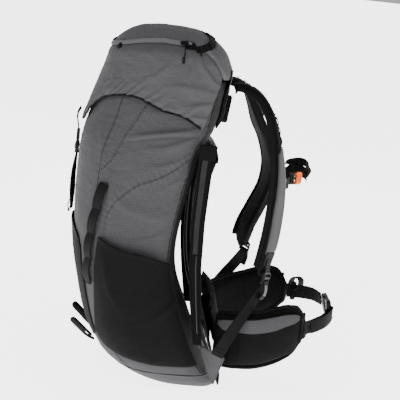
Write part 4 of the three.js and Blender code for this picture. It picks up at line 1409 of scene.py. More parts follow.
def zipper(name, line, out, body, width=9.0, pitch=1.6):
    """A coil zip: a tape with two rows of turns down its middle."""
    along = unit(np.gradient(line, axis=0))
    across = unit(np.cross(out, along))
    tape = swept(name + "_tape", line, across, flat_section(width, 1.0), BINDING, body)
    verts, faces = [], []
    total = sum(np.linalg.norm(np.diff(line, axis=0), axis=1))
    count = int(total / pitch)
    data = even(np.concatenate((line, out), 1), count)
    tang = unit(np.gradient(data[:, :3], axis=0))
    for k in range(count):
        c, o, t = data[k, :3], unit(data[k, 3:]), tang[k]
        s = np.cross(o, t)
        shift = 0.75 if k % 2 else -0.75
        start = len(verts)
        for h in (0.4, 1.35):
            for i, j in ((-1, -1), (1, -1), (1, 1), (-1, 1)):
                verts.append(c + s * (shift + i * 1.25) + t * (j * 0.42) + o * h)
        for q in (
            (0, 1, 2, 3), (4, 5, 6, 7), (0, 1, 5, 4), (1, 2, 6, 5), (2, 3, 7, 6), (3, 0, 4, 7)
        ):
            faces.append(tuple(start + i for i in q))
    coil = make(name + "_coil", verts, faces, RUBBER, body, smooth=False)
    return tape, coil


# ---------- soft forms ----------
def puff(obj, voxel=4.5, pressure=4.0, cap=6.0, stiffness=12.0):
    """Swells a closed form as stuffed cloth, with Blender's Cloth, and keeps the result."""
    bpy.context.view_layer.objects.active = obj
    remesh = obj.modifiers.new("remesh", "REMESH")
    remesh.mode = "VOXEL"
    remesh.voxel_size = voxel * 0.001
    remesh.use_smooth_shade = True
    freeze(obj)
    rest = np.empty(len(obj.data.vertices) * 3, np.float32)
    obj.data.vertices.foreach_get("co", rest)
    rest = rest.reshape(-1, 3)
    cloth = obj.modifiers.new("cloth", "CLOTH")
    s = cloth.settings
    s.quality = 4
    s.mass = 0.2
    s.tension_stiffness = stiffness
    s.compression_stiffness = stiffness
    s.shear_stiffness = 4
    s.bending_stiffness = 0.3
    s.use_pressure = True
    s.uniform_pressure_force = pressure
    s.effector_weights.gravity = 0
    cloth.point_cache.frame_start = 1
    cloth.point_cache.frame_end = 20
    scene = bpy.context.scene
    for f in range(1, 21):
        scene.frame_set(f)
        bpy.context.evaluated_depsgraph_get()
    freeze(obj)
    scene.frame_set(1)
    now = np.empty(len(obj.data.vertices) * 3, np.float32)
    obj.data.vertices.foreach_get("co", now)
    now = now.reshape(-1, 3)
    move = now - rest
    move[~np.isfinite(move)] = 0
    size = np.linalg.norm(move, axis=1, keepdims=True)
    move *= np.minimum(1, cap * 0.001 / np.maximum(size, 1e-9))
    obj.data.vertices.foreach_set("co", (rest + move).ravel())
    obj.data.update()
    subdivide = obj.modifiers.new("smooth", "SUBSURF")
    subdivide.levels = subdivide.render_levels = 1
    freeze(obj)
    obj.data.polygons.foreach_set("use_smooth", np.ones(len(obj.data.polygons), bool))
    return obj


def freeze(obj):
    """Keeps what a piece's modifiers make of it, and removes them."""
    dg = bpy.context.evaluated_depsgraph_get()
    made = bpy.data.meshes.new_from_object(obj.evaluated_get(dg), depsgraph=dg)
    old = obj.data
    materials = list(old.materials)
    obj.modifiers.clear()
    obj.data = made
    if not made.materials:
        for m in materials:
            made.materials.append(m)
    bpy.data.meshes.remove(old)
    made.name = obj.name


def pad_between(name, outer, inner, material, body, replaces=()):
    """A closed pad between two grids of points."""
    rows, columns = outer.shape[:2]
    count = rows * columns
    faces = grid_faces(rows, columns)
    far = [tuple(reversed(f)) for f in grid_faces(rows, columns, start=count)]
    rim = [(0, c) for c in range(columns)] + [(r, columns - 1) for r in range(1, rows)]
    rim += [
        (rows - 1, c) for c in range(columns - 2, -1, -1)
    ] + [(r, 0) for r in range(rows - 2, 0, -1)]
    at = [r * columns + c for r, c in rim]
    wall = [
        (
            at[i], at[(i + 1) % len(at)], at[(i + 1) % len(at)] + count, at[i] + count
        ) for i in range(len(at))
    ]
    points = np.concatenate((outer.reshape(-1, 3), inner.reshape(-1, 3)))
    uv = np.concatenate((grid_uv(outer), grid_uv(inner)))
    return make(name, points, faces + far + wall, material, body, replaces, uv)


def edge_loop(grid):
    return np.concatenate((grid[0], grid[1:, -1], grid[-1, -2::-1], grid[-2:0:-1, 0]))


def mirrored(obj, name, body, replaces):
    """The same piece on the wearer's left."""
    mesh = obj.data.copy()
    co = np.empty(len(mesh.vertices) * 3, np.float32)
    mesh.vertices.foreach_get("co", co)
    co = co.reshape(-1, 3)
    co[:, 1] *= -1
    mesh.vertices.foreach_set("co", co.ravel())
    mesh.flip_normals()
    mesh.name = name
    other = bpy.data.objects.new(name, mesh)
    bpy.context.scene.collection.objects.link(other)
    settle(other, body, replaces)
    return other


def round_edge(t, power):
    return np.sqrt(np.maximum(1 - np.abs(2 * np.clip(t, 0, 1) - 1) ** power, 0))


# ---------- suspended back ----------
FRAME_HALF = [
    (24, -60, 444), (20, -100, 443), (13, -120, 434), (6, -129, 405), (2, -132, 330),
    (4, -131, 250), (14, -128, 185), (36, -112, 124), (50, -91, 92), (56, -60, 84)
]


def mesh_surface(u, v):
    z = lerp(120.0, 432.0, v)
    x = table([(120, 45), (180, 24), (250, 12), (330, 9), (400, 15), (432, 23)], z)
    half = table([(120, 100), (180, 120), (432, 124)], z)
    return np.stack(
        np.broadcast_arrays(x + 5 * np.sin(np.pi * np.clip(u, 0, 1)), lerp(-1, 1, u) * half, z), -1
    )


def band_point(u, v):
    z = lerp(118.0, 458.0, v)
    x = table([(118, 17), (196, 3), (250, -4), (330, -8), (424, -7), (458, -5)], z)
    wide = table([(118, 13), (200, 18), (300, 20), (458, 23)], z)
    return np.stack(np.broadcast_arrays(x + u * wide, 0 * z - 137.5, z), -1)


def build_back():
    loop = FRAME_HALF + [(x, -y, z) for x, y, z in reversed(FRAME_HALF)]
    rod = curve(loop, 220, closed=True)
    swept(
        "frame_rod", rod, level_across(rod), round_section(3.0, 12), STEEL, "bag", "frame_wire",
        closed=True
    )
    u = np.linspace(0, 1, 60)[None]
    v = np.linspace(0, 1, 90)[:, None]
    p = mesh_surface(u, v)
    flat = 0.25 * np.sin(u * np.pi * 30) * np.sin(v * np.pi * 40)
    p = p + np.array((1.0, 0, 0)) * flat[..., None]
    n = grid_normals(p)
    n = n * np.sign(n[..., :1])
    sheet("back_net", p + n * 0.7, 1.4, NET, "bag", "back_mesh", normals=n)
    for k, edge in enumerate((p[0], p[-1])):
        strap(
            f"back_net_binding_{k}", edge[::5] + (1.0, 0, 0), [(0, 0, 1)], 11, 3.0, BINDING, "bag",
            count=60
        )
    # Welded ribs of thicker mesh beside the spine.
    for k, y in enumerate((-62, -31, 0, 31, 62)):
        zz = np.linspace(150, 410, 40)
        vv = (zz - 120) / 312
        uu = np.array([0.5 + y / (2 * table([(120, 100), (180, 120), (432, 124)], z)) for z in zz])
        q = np.array([mesh_surface(np.array(a), np.array(b)) for a, b in zip(uu, vv)])
        q = q + (1.6, 0, 0)
        swept(
            f"back_net_rib_{k}", q, np.tile((0, 1.0, 0), (40, 1)), flat_section(7, 1.8), BLACKCLOTH,
            "bag"
        )
    for side, word in ((-1, "right"), (1, "left")):
        u = np.linspace(0, 1, 14)[None]
        v = np.linspace(0, 1, 120)[:, None]
        p = band_point(u, v) * (1, -side, 1)
        crown = 1.1 * np.sin(np.pi * np.clip(u, 0, 1)) ** 0.5 + 0 * v
        n = np.broadcast_to(np.array((0, float(side), 0)), p.shape)
        sheet(
            f"side_band_{word}_cloth", p + n * crown[..., None], 2.4, BLACKCLOTH, "bag",
            f"side_band_{word}", normals=n
        )
        # An open net strip over its upper half, and light piping below it.
        u = np.linspace(0.2, 0.62, 8)[None]
        v = np.linspace(0.46, 0.94, 70)[:, None]
        q = band_point(u, v) * (1, -side, 1) + np.array((0, side * 1.9, 0))
        sheet(
            f"side_band_{word}_net", q, 0.6, STRIP_NET, "bag",
            normals=np.broadcast_to(np.array((0, float(side), 0)), q.shape)
        )
        for j, (uu, mat, rad) in enumerate(((0.02, BINDING, 1.5), (0.98, BINDING, 1.5))):
            line = band_point(
                np.full(60, uu), np.linspace(0, 1, 60)
            ) * (1, -side, 1) + (0, side * 0.8, 0)
            tube(f"side_band_{word}_edge_{j}", line[::3], rad, mat, "bag", sides=8)
        line = band_point(
            np.full(40, 0.55), np.linspace(0.06, 0.45, 40)
        ) * (1, -side, 1) + (0, side * 1.5, 0)
        tube(f"side_band_{word}_piping", line[::3], 0.9, THREAD_LIGHT, "bag", sides=8)
        # The cap pocket over the frame's top corner.
        u = np.linspace(-0.12, 1.12, 18)[None]
        v = np.linspace(0.925, 1.0, 14)[:, None]
        cap = band_point(u, v) * (1, -side, 1)
        cap = cap + np.array((0, side * 1.0, 0)) * (
            2.2 * np.sqrt(np.clip(1 - (np.abs(u - 0.5) / 0.64) ** 4, 0, 1)) + 0.6 + 0 * v
        )[..., None]
        sheet(
            f"side_band_{word}_cap", cap, 1.2, BLACKCLOTH, "bag",
            normals=np.broadcast_to(np.array((0, float(side), 0)), cap.shape)
        )
    # The yoke that the straps are sewn to.
    u = np.linspace(0, 1, 60)[None]
    v = np.linspace(0, 1, 46)[:, None]
    p = bag_at(lerp(-24, 24, u), lerp(482, 552, v))
    n = level_normals(p)
    n = n * np.sign(n[..., :1])
    depth = 3 + 5 * round_edge(u, 6) * round_edge(v, 6)
    ripple = 0.5 * noisy(p, 20, 3.0, 2)
    quilt = -1.2 * np.exp(-(((v - 0.5) * 70 / 2.2) ** 2)) - 1.0 * np.exp(
        -(((np.abs(u - 0.5) - 0.25) * 160 / 2.2) ** 2)
    )
    pad = pad_between(
        "harness_yoke_pad", p + n * (depth + ripple + quilt)[..., None], p + n * 1.2, FOAM, "bag",
        "harness_yoke"
    )
    tube(
        "harness_yoke_binding", edge_loop(p + n * 2.6)[::4], 2.0, BINDING, "bag", closed=True,
        sides=8
    )
    # Haul loop: folded webbing with a sewn grip.
    haul = [
        (44, -10, 529), (42, -12, 510), (40, -9, 490), (39.5, 0, 483), (40, 9, 490), (42, 12, 510),
        (44, 10, 529)
    ]
    strap(
        "haul_loop_webbing", haul, [(1, 0, 0)], 9, 1.8, WEBBING_BLACK, "haul_loop", "haul_loop",
        count=50
    )
    grip = curve(haul, 60)[22:39]
    swept(
        "haul_loop_grip", grip, np.tile((1.0, 0, 0), (17, 1)), flat_section(10, 3.6), BINDING,
        "haul_loop"
    )
    line = curve(haul, 80)
    stitches(
        "haul_loop_stitches", line[6:26] + (0, -1.0, 0), np.tile((0, -1.0, 0.0), (20, 1)),
        THREAD_LIGHT, "haul_loop"
    )
    # Lumbar pad with sewn channels.
    u = np.linspace(0, 1, 70)[None]
    v = np.linspace(0, 1, 50)[:, None]
    z = lerp(96.0, 200.0, v)
    x = table([(96, 61), (120, 53), (160, 41), (200, 34)], z) + 3 * np.cos(np.pi * (u - 0.5))
    p = np.stack(np.broadcast_arrays(x, lerp(-92, 92, u), z), -1)
    n = grid_normals(p)
    n = n * np.sign(n[..., :1])
    depth = 2 + 10.5 * round_edge(u, 6) * round_edge(v, 4)
    pad = pad_between(
        "lumbar_pad_foam", p + n * depth[..., None], p + n * 1.2, FOAM_INNER, "bag", "lumbar_pad",
    )
    puff(pad, 5.0, cap=4)
    for k, y in enumerate((-46, 0, 46)):
        i = int((y + 92) / 184 * 69)
        q = (p + n * (depth + 1.2)[..., None])[4:-4:4, i]
        tube(f"lumbar_channel_{k}", q, 1.6, BLACKCLOTH, "bag", sides=8)
    # Stabiliser wings, bound at the edge, and the wear foot.
    a, b, c, d = (
        np.array(q, float) for q in (
            (30, -131, 114), (46, -122, 70), (69, -158, 106), (60, -112, 42)
        )
    )
    for side, word in ((-1, "right"), (1, "left")):
        u = np.linspace(0, 1, 30)[None, :, None]
        v = np.linspace(0, 1, 30)[:, None, None]
        p = ((1 - u) * ((1 - v) * b + v * a) + u * ((1 - v) * d + v * c)) * (1, -side, 1)
        n = grid_normals(p)
        n = n * np.sign(n[..., 1:2] * side)
        p = p + n * (
            0.8 * noisy(p, 18, 4.0, 2) + 1.2 * np.sin(np.pi * u[..., 0]) * np.sin(np.pi * v[..., 0])
        )[..., None]
        sheet(
            f"stabiliser_wing_{word}_cloth", p, 1.8, SIDE, "bag", f"stabiliser_wing_{word}",
            normals=n
        )
        rim = edge_loop(p - n * 0.9)
        tube(
            f"stabiliser_wing_{word}_binding", rim[::3], 1.5, THREAD_LIGHT, "bag", closed=True,
            sides=8
        )
        fold = [p[28, 1], p[20, 8], p[10, 16], p[2, 26]]
        m = [n[28, 1], n[20, 8], n[10, 16], n[2, 26]]
        stitches(
            f"stabiliser_wing_{word}_stitches", np.array(fold) + np.array(m) * 0.3, m, THREAD, "bag"
        )
    u = np.linspace(0, 1, 60)[None]
    v = np.linspace(0, 1, 24)[:, None]
    p = np.stack(
        np.broadcast_arrays(lerp(75.5, 74.5, v), lerp(-58, 58, u), lerp(FOOT + 1.5, FOOT + 24, v)),
        -1
    )
    n = np.broadcast_to(np.array((1.0, 0, 0)), p.shape)
    half = 0.6 + 2.6 * round_edge(u, 10) * round_edge(v, 4)
    ribs = 0.45 * np.sin(v * 2 * np.pi * 5) * round_edge(u, 10)
    pad_between(
        "wear_foot_rubber", p + n * (half + ribs)[..., None], p - n * half[..., None], RUBBER,
        "bag", "wear_foot"
    )


# ---------- shoulder harness ----------
RIGHT_PATH = [
    (45, -50, 546), (53, -51, 550.5), (66, -57, 549.5), (87, -67, 538), (106, -79, 512),
    (118, -92, 477), (126, -103, 440), (131, -111, 395), (131, -116, 350), (127, -120, 300),
    (115, -124, 243)
]
LEFT_PATH = [
    (45, 50, 545), (53, 51, 548.5), (66, 57, 547), (84, 66, 533), (98, 75, 508), (112, 86, 478),
    (130, 95, 447), (144, 104, 405), (143, 111, 362), (128, 117, 316), (112, 121, 272),
    (107, 124, 237)
]
STRAP_WIDTH = [54, 62, 67, 66, 62, 58, 52, 38]
STRAPS = {
    "right": (RIGHT_PATH, [0, 0, 8, 16, 24, 30, 32]),
    "left": (LEFT_PATH, [0, 0, 8, 12, 14, 22, 30]),
}


class Strap:
    """A shoulder strap's line, width and faces, by the fraction along it."""

    def __init__(self, word, count=121):
        path, turns = STRAPS[word]
        side = 1 if path[0][1] > 0 else -1
        self.word, self.side, self.count = word, side, count
        self.at = curve(path, count)
        t = np.radians(turns)
        acrosses = np.stack((-np.sin(t), side * np.cos(t), 0 * t), -1)
        across = unit(spread(acrosses, count))
        self.along, self.across, out = frames(self.at, across)
        self.out = unit(np.cross(self.across, self.along)) * -side
        self.width = spread(STRAP_WIDTH, count)
        self.thick = spread([12, 14, 14, 12], count)

    def point(self, t, across=0.0, height=0.0):
        """A place on the outer face; across is from -1 at the neck edge to 1 at the arm edge."""
        s = np.asarray(t, float) * (self.count - 1)
        idx = np.arange(self.count)
        pick = lambda a: np.stack([np.interp(s, idx, a[:, k]) for k in range(3)], -1)
        at, ac, out, al = pick(self.at), unit(pick(self.across)), unit(pick(self.out)), unit(pick(self.along))
        w = np.interp(s, idx, self.width)[..., None] / 2
        h = np.interp(s, idx, self.thick)[..., None] / 2
        across = np.asarray(across, float)[..., None] * np.ones_like(w)
        crown = np.sqrt(np.clip(1 - np.abs(across) ** 5, 0, 1))
        return at + ac * across * w + out * (
            h * crown + np.asarray(height, float)[..., None]
        ), ac, al, out


def on_strap_sheet(
    name, strap_, t, edges, height, thick, material, body, replaces=(), columns=18
):
    """A cloth panel on a strap's outer face, between two edge lines across it."""
    t = np.asarray(t, float)[:, None]
    low, high = (np.asarray(e, float)[:, None] for e in edges)
    c = lerp(low, high, np.linspace(0, 1, columns)[None])
    tt = t + 0 * c
    p, ac, al, out = strap_.point(tt, c, height + 0 * c)
    p = p + out * (0.25 * noisy(p, 9, 2.0, 2))[..., None]
    return sheet(name, p, thick, material, body, replaces, normals=out)


def build_straps():
    for word in ("right", "left"):
        s = Strap(word)
        body = f"strap_{word}"
        section_ = super_section(26, 3.2)
        taper = np.sqrt(np.clip((1 - np.linspace(0, 1, s.count)) * 359 / 20, 0.05, 1))
        sizes = np.stack((s.width * 1.02 * taper, s.thick * 1.02 * taper**0.5), -1)
        pad = swept(
            f"shoulder_pad_{word}_foam", s.at, s.across, section_, FOAM, body,
            f"shoulder_pad_{word}", sizes=sizes
        )
        puff(pad, 4.0, cap=1.6, pressure=3)
        # Edge binding, and a cloth cover over the outer face.
        for k, edge in enumerate((-1, 1)):
            t = np.linspace(0.015, 0.955, 90)
            p, ac, al, out = s.point(
                t, np.full(90, edge * 0.985), -s.thick.mean() / 2 + 1.0 + 0 * t
            )
            swept(f"shoulder_pad_{word}_binding_{k}", p, out, flat_section(8.5, 3.0), BINDING, body)
            q = p + ac * (1.7 * edge)
            stitches(
                f"shoulder_pad_{word}_edge_stitches_{k}", q + out * 1.0, ac * edge, THREAD, body,
                2.2, 1.6
            )
        t = np.linspace(0.02, 0.955, 150)
        on_strap_sheet(
            f"shoulder_cover_{word}", s, t, (np.full(150, -0.86), np.full(150, 0.86)), 0.7, 1.0,
            BLACKCLOTH, body
        )
        # The grey overlay, with piping at its edges and a slanted top.
        t = np.linspace(0.398, 0.885, 110)
        left = table([(0.4, -0.62), (0.44, -0.64), (0.7, -0.66), (0.89, -0.62)], t)
        right = table([(0.4, 0.3), (0.43, 0.9), (0.7, 0.92), (0.89, 0.84)], t)
        on_strap_sheet(
            f"strap_overlay_{word}_cloth", s, t, (left, right), 1.9, 1.2, OVERLAY, body,
            f"strap_overlay_{word}"
        )
        for k, line in enumerate((left, right)):
            p, *_ = s.point(t, line, 2.0 + 0 * t)
            tube(
                f"strap_overlay_{word}_piping_{k}", p[::5], 0.95,
                PIPING if k == 0 else THREAD_LIGHT, body, sides=8
            )
        c = np.linspace(-0.64, 0.5, 16)
        tt = lerp(0.396, 0.414, (c + 0.64) / 1.14)
        p, *_ = s.point(tt, c, 2.3 + 0 * c)
        tube(f"strap_overlay_{word}_top_piping", p, 1.2, PIPING, body, sides=8)
        # The dark cover that holds the ladder lock's webbing.
        t = np.linspace(0.875, 0.945, 18)
        on_strap_sheet(
            f"strap_end_{word}_cover", s, t, (np.full(18, -0.8), np.full(18, 0.8)), 2.6, 1.4,
            WEBBING_BLACK, body
        )
        # Daisy loops above the sternum strap and a reflective tab over the shoulder.
        t = np.linspace(0.255, 0.385, 90)
        lift = 2.0 + 2.0 * np.abs(np.sin((t - 0.255) / 0.13 * np.pi * 3)) ** 0.8
        p, ac, al, out = s.point(t, np.full(90, 0.12), lift)
        swept(f"strap_loops_{word}", p, ac, flat_section(11, 1.5), WEBBING_BLACK, body)
        t = np.linspace(0.085, 0.38, 60)
        p, ac, al, out = s.point(t, np.full(60, -0.3), 1.7 + 0 * t)
        swept(f"strap_rib_{word}", p, ac, flat_section(5, 1.6), BINDING, body)
        t = np.linspace(0.1, 0.125, 8)
        p, ac, al, out = s.point(t, np.full(8, 0.15), 1.8 + 0 * t)
        swept(f"strap_tab_{word}", p, ac, flat_section(16, 1.1), TAB, body)
        # Webbing rail for the sternum slider, then the ladder lock.
        t = np.linspace(0.5, 0.78, 50)
        rail, ac, al, out = s.point(t, np.full(50, -1.0), -7.0 + 0 * t)
        tube(f"sternum_rail_{word}", (rail - ac * 3.4)[::4], 1.7, RUBBER, body, sides=8)
        build_lock(s, word, body)
        # Bar tacks where the pad's layers are sewn through.
        tacks = []
        for tt in (0.06, 0.25, 0.39, 0.88):
            for cc in (-0.45, 0.45):
                ends = [
                    s.point(
                        np.array([tt]), np.array([cc + d]), np.array([2.4])
                    )[0][0] for d in (-0.13, 0.13)
                ]
                tacks.append(tube("tack", even(ends, 8), 0.8, THREAD, body, sides=6, smooth=False))
        join(f"strap_tacks_{word}", tacks)


def build_lock(s, word, body):
    """A ladder lock under the strap's end, with the webbing through it."""
    end, ac, al, out = (a[0] for a in s.point(np.array([1.0]), np.array([0.0]), np.array([-6.0])))
    at = end - al * 2 + out * 13
    m = placed(at, al, out)

    def bow(co):
        return Vector((co.x, co.y, co.z + 1.2 - 0.03 * (co.x * co.x)))

    windows = [rounded(4.8, 21.2, 1.2, -4.5, 0), rounded(4.8, 21.4, 1.2, 4.2, 0)]
    plate(
        f"ladder_lock_{word}_frame", rounded(20.5, 27.5, 3.5), 4.2, PLASTIC, f"ladder_lock_{word}",
        m, windows, 0.9, f"ladder_lock_{word}", bow
    )
    tab = [at + al * 8 + out * 2.6 + ac * y for y in (-6, 0, 6)]
    strap(f"ladder_lock_{word}_lip", tab, [al], 5, 2.2, PLASTIC, f"ladder_lock_{word}", count=8)
    anchor = [
        end - al * 34 + out * 9.2, end - al * 20 + out * 10.6, end - al * 9 + out * 12.4,
        end - al * 6.2 + out * 10.6, end - al * 9 + out * 9.2, end - al * 24 + out * 8.4
    ]
    strap(f"ladder_lock_{word}_anchor", anchor, [ac], 20, 1.5, WEBBING_BLACK, body, count=40)


def build_lower_webbing():
    for word, side in (("right", -1), ("left", 1)):
        s = Strap(word)
        end, ac, al, out = (
            a[0] for a in s.point(np.array([1.0]), np.array([0.0]), np.array([-6.0]))
        )
        under = end + al * 12 + out * 12.5
        line = [end + al * 2 + out * 14.5, under] + [
            np.array((x, -side * y, z)) for x, y,
            z in ((105, -147, 199), (87, -157, 170), (66, -164, 133), (56, -160.5, 109))
        ]
        path = curve(line, 70)
        acrosses = spread([ac, np.array((-0.9, side * 0.4, 0.3)), np.array((-0.92, 0, 0.38))], 70)
        web = swept(
            f"lower_webbing_{word}_strap", path, acrosses, flat_section(21, 2.0), WEBBING_BLACK,
            None, f"lower_webbing_{word}"
        )
        # It is in no body: its place is baked into its points.
        tuple(mm(path[-6]))
        tuple(mm(path[4]))
        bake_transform(web)
        tail = [
            under - al * 8 + out * 3.4, under - al * 2 + out * 5, under + al * 6 + out * 7,
            under + al * 16 + out * 6, under + al * 20 + out * 4
        ]
        strap(
            f"lower_webbing_{word}_tail", tail, [ac], 19, 1.5, WEBBING_BLACK, f"ladder_lock_{word}",
            count=30
        )
        tip = [under + al * 17 + out * 5.6, under + al * 23 + out * 3.4]
        strap(
            f"lower_webbing_{word}_tip", tip, [ac], 20, 3.0, BINDING, f"ladder_lock_{word}", count=8
        )
        cloth = [
            under - al * 3 + out * 6.4 + ac * 3, under + al * 6 + out * 9.6 + ac * 3.6,
            under + al * 15 + out * 9.8 + ac * 4
        ]
        strap(
            f"lower_webbing_{word}_pull", cloth, [ac], 9, 1.2, TAB, f"ladder_lock_{word}", count=14
        )
        n = len(path)
        tacks = []
        for k in (n - 7, n - 4):
            o = unit(np.cross(acrosses[k], path[k] - path[k - 1]))
            o = o * np.sign(o[1] * side)
            ends = [path[k] + unit(acrosses[k]) * w + o * 1.2 for w in (-8, 8)]
            tacks.append(tube("tack", even(ends, 12), 0.85, THREAD, "bag", sides=6, smooth=False))
        join(f"lower_webbing_{word}_tacks", tacks)


def build_sternum():
    box_r, box_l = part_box("sternum_slider_right"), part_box("sternum_slider_left")
    centres = {}
    for word, b in (("right", box_r), ("left", box_l)):
        c = (np.array(b[0]) + np.array(b[1])) / 2 * 1000
        c[2] += FOOT
        centres[word] = c
    z0 = centres["right"][2]
    for word in ("right", "left"):
        s = Strap(word)
        c = centres[word]
        i = int(0.573 * (s.count - 1))
        turned = -s.across[i]
        m = placed(c, (0, 0, 1), turned)
        plate(
            f"sternum_slider_{word}_body", rounded(24, 11.6, 3.4), 6.4, PLASTIC, f"sternum_{word}",
            m, [rounded(14, 3.2, 1.0)], 1.1, f"sternum_slider_{word}",
            lambda v: Vector((v.x, v.y, v.z * (1 - 0.0018 * v.x * v.x)))
        )
    at = lambda x, y, lift=0.0: np.array((x, y, z0 + lift))
    far = [
        centres["left"] + (4, -7, 0), at(173, 50, 3), at(189, 41, 8), at(200, 28, 4), at(199, 17)
    ]
    strap(
        "sternum_webbing_left_strap", far, [(0, 0, 1)], 20, 1.7, WEBBING_BLACK, "sternum_left",
        "sternum_webbing_left", count=44
    )
    near = [centres["right"] + (6, 4, 0), at(156, -59), at(154, -44), at(147, -31), at(149, -26)]
    strap(
        "sternum_webbing_right_strap", near, [(0, 0, 1)], 20, 1.7, WEBBING_BLACK, "sternum_right",
        "sternum_webbing_right", count=34
    )
    # The far half's folded tail, held by an elastic keeper.
    loop = [
        at(196, 20, 4), at(203, 26, 18), at(196, 36, 24), at(180, 46, 22), at(170, 52, 16),
        at(182, 47, 10), at(196, 33, 6)
    ]
    strap("sternum_tail", loop, [(-0.5, -0.3, 1)], 17, 1.7, WEBBING_BLACK, "sternum_left", count=60)
    strap(
        "sternum_tail_keeper", [at(187, 40, 2), at(188, 39, 28)], [(0.8, -0.5, 0)], 9, 5.0, ELASTIC,
        "sternum_left", count=10
    )
    along = unit((-0.75, -0.66, 0))
    buckle(
        "sternum", at(175.2, -3.6), along, unit((0.66, -0.75, 0)), 22, ORANGE, PLASTIC,
        "sternum_left", "sternum_right", 16
    )


def buckle(
    word, centre, along, out, width, catch_material, clip_material, catch_body, clip_body, bar
):
    """A side-release buckle: the catch on the far half and the clip, with its arms, on the near one."""
    across = unit(np.cross(out, along))
    w = width / 2
    outline = [
        (-w * 0.2, -w), (-w * 1.15, -w), (-w * 1.4, -w * 0.8), (-w * 1.45, 0), (-w * 1.4, w * 0.8),
        (-w * 1.15, w), (-w * 0.2, w), (-w * 0.05, w * 0.72), (-w * 0.34, w * 0.5), (-w * 0.2, 0),
        (-w * 0.34, -w * 0.5), (-w * 0.05, -w * 0.72)
    ]
    slot_ = rounded(w * 0.26, bar, 0.8, -w * 1.08, 0)
    crown = lambda v: Vector((v.x, v.y, v.z * (1 - 0.28 * (v.y / w) ** 2)))
    m = placed(centre, along, out)
    plate(
        f"{word}_catch_shell", outline, w * 0.62, catch_material, catch_body, m, [slot_], 1.1,
        f"{word}_catch", crown
    )
    ribs = []
    for k in (-1, 0, 1):
        p = centre + along * (-w * 0.62 + k * w * 0.16) + out * (w * 0.3)
        ribs.append(
            tube(
                "rib", even([p - across * w * 0.5, p + across * w * 0.5], 8), 0.7, catch_material,
                catch_body, sides=6, smooth=False
            )
        )
    join(f"{word}_catch_ribs", ribs)
    outline = [
        (w * 0.35, -w * 0.95), (w * 1.5, -w * 0.95), (w * 1.62, -w * 0.8), (w * 1.62, w * 0.8),
        (w * 1.5, w * 0.95), (w * 0.35, w * 0.95), (w * 0.28, w * 0.8), (w * 0.28, -w * 0.8)
    ]
    slots = [
        rounded(w * 0.26, bar, 0.8, w * 1.32, 0), rounded(w * 0.22, bar * 0.9, 0.8, w * 0.82, 0)
    ]
    plate(
        f"{word}_clip_body", outline, w * 0.5, clip_material, clip_body, m, slots, 1.0,
        f"{word}_clip", crown
    )
    for k in (-1, 1):
        path = [
            centre + along * (w * 0.5) + across * (k * w * 0.78),
            centre + along * (w * 0.1) + across * (k * w * 0.9),
            centre - along * (w * 0.22) + across * (k * w * 0.88),
            centre - along * (w * 0.34) + across * (k * w * 0.7)
        ]
        strap(
            f"{word}_clip_arm_{(k + 1) // 2}", path, [out], w * 0.36, w * 0.16, clip_material,
            clip_body, count=16
        )
    prong = [centre + along * (w * 0.4), centre - along * (w * 0.2)]
    strap(
        f"{word}_clip_prong", prong, [across], w * 0.42, w * 0.2, clip_material, clip_body, count=8
    )


# ---------- hip belt ----------
WING_PLAN = [(57, -104), (80, -121), (114, -137), (150, -142), (182, -135), (202, -118)]
WING_BOTTOM = [(0, 80), (0.2, 80), (0.45, 88), (0.65, 102), (0.85, 121), (1, 144)]
WING_TOP = [(0, 169), (0.2, 175), (0.45, 185), (0.68, 200), (0.85, 198), (1, 174)]


def smooth_table(pairs, t, reach=0.05):
    return np.mean(
        [table(pairs, np.clip(t + k * reach, 0, 1)) for k in (-1, -0.5, 0, 0.5, 1)], axis=0
    )


class Wing:
    """The hip wing's middle surface on the right side."""

    def __init__(self):
        p = np.array([(x, y, 0) for x, y in WING_PLAN], float)
        q = np.concatenate((2 * p[:1] - p[1:2], p, 2 * p[-1:] - p[-2:-1]))
        line = []
        for i in range(1, len(q) - 2):
            pieces = curve(q[i - 1 : i + 3], 91)
            line.append(pieces)
        whole = curve(p, 501)
        knots = np.array([np.argmin(np.linalg.norm(whole - k, axis=1)) for k in p])
        u = np.linspace(0, 1, 301)
        self.u = u
        self.plan = whole[
            np.round(np.interp(u * (len(p) - 1), np.arange(len(p)), knots)).astype(int)
        ]
        kernel = np.ones(9) / 9
        for k in range(2):
            pad = np.pad(self.plan[:, k], 4, mode="reflect", reflect_type="odd")
            self.plan[:, k] = np.convolve(pad, kernel, "valid")
        along = unit(np.gradient(self.plan, axis=0))
        self.out = np.stack((along[:, 1], -along[:, 0], 0 * u), -1)

    def point(self, u, v, off=0.0):
        u, v = np.broadcast_arrays(np.asarray(u, float), np.asarray(v, float))
        pick = lambda a: np.stack([np.interp(u, self.u, a[:, k]) for k in range(3)], -1)
        p, n = pick(self.plan), unit(pick(self.out))
        low, high = smooth_table(WING_BOTTOM, u), smooth_table(WING_TOP, u)
        p[..., 2] = low + (high - low) * v
        n = n * -np.sign(np.sum(n * (0, 1, 0), axis=-1, keepdims=True) + 1e-9) * np.array((1, 1, 1))
        n = np.where(n[..., 1:2] > 0, -n, n)
        return p + n * np.asarray(off)[..., None], n


def outer_rise(u, v):
    """How far the belt's outer face stands off its middle, pocket included."""
    a = np.clip((u - 0.30) / 0.54, 0, 1)
    b = np.clip((v - 0.07) / 0.86, 0, 1)
    pocket = 8.5 * np.sin(np.pi * a) ** 0.6 * np.sin(np.pi * b) ** 0.6
    return 1.5 + 6.5 * round_edge(v, 4) * round_edge(u, 8) + 1.0 + pocket


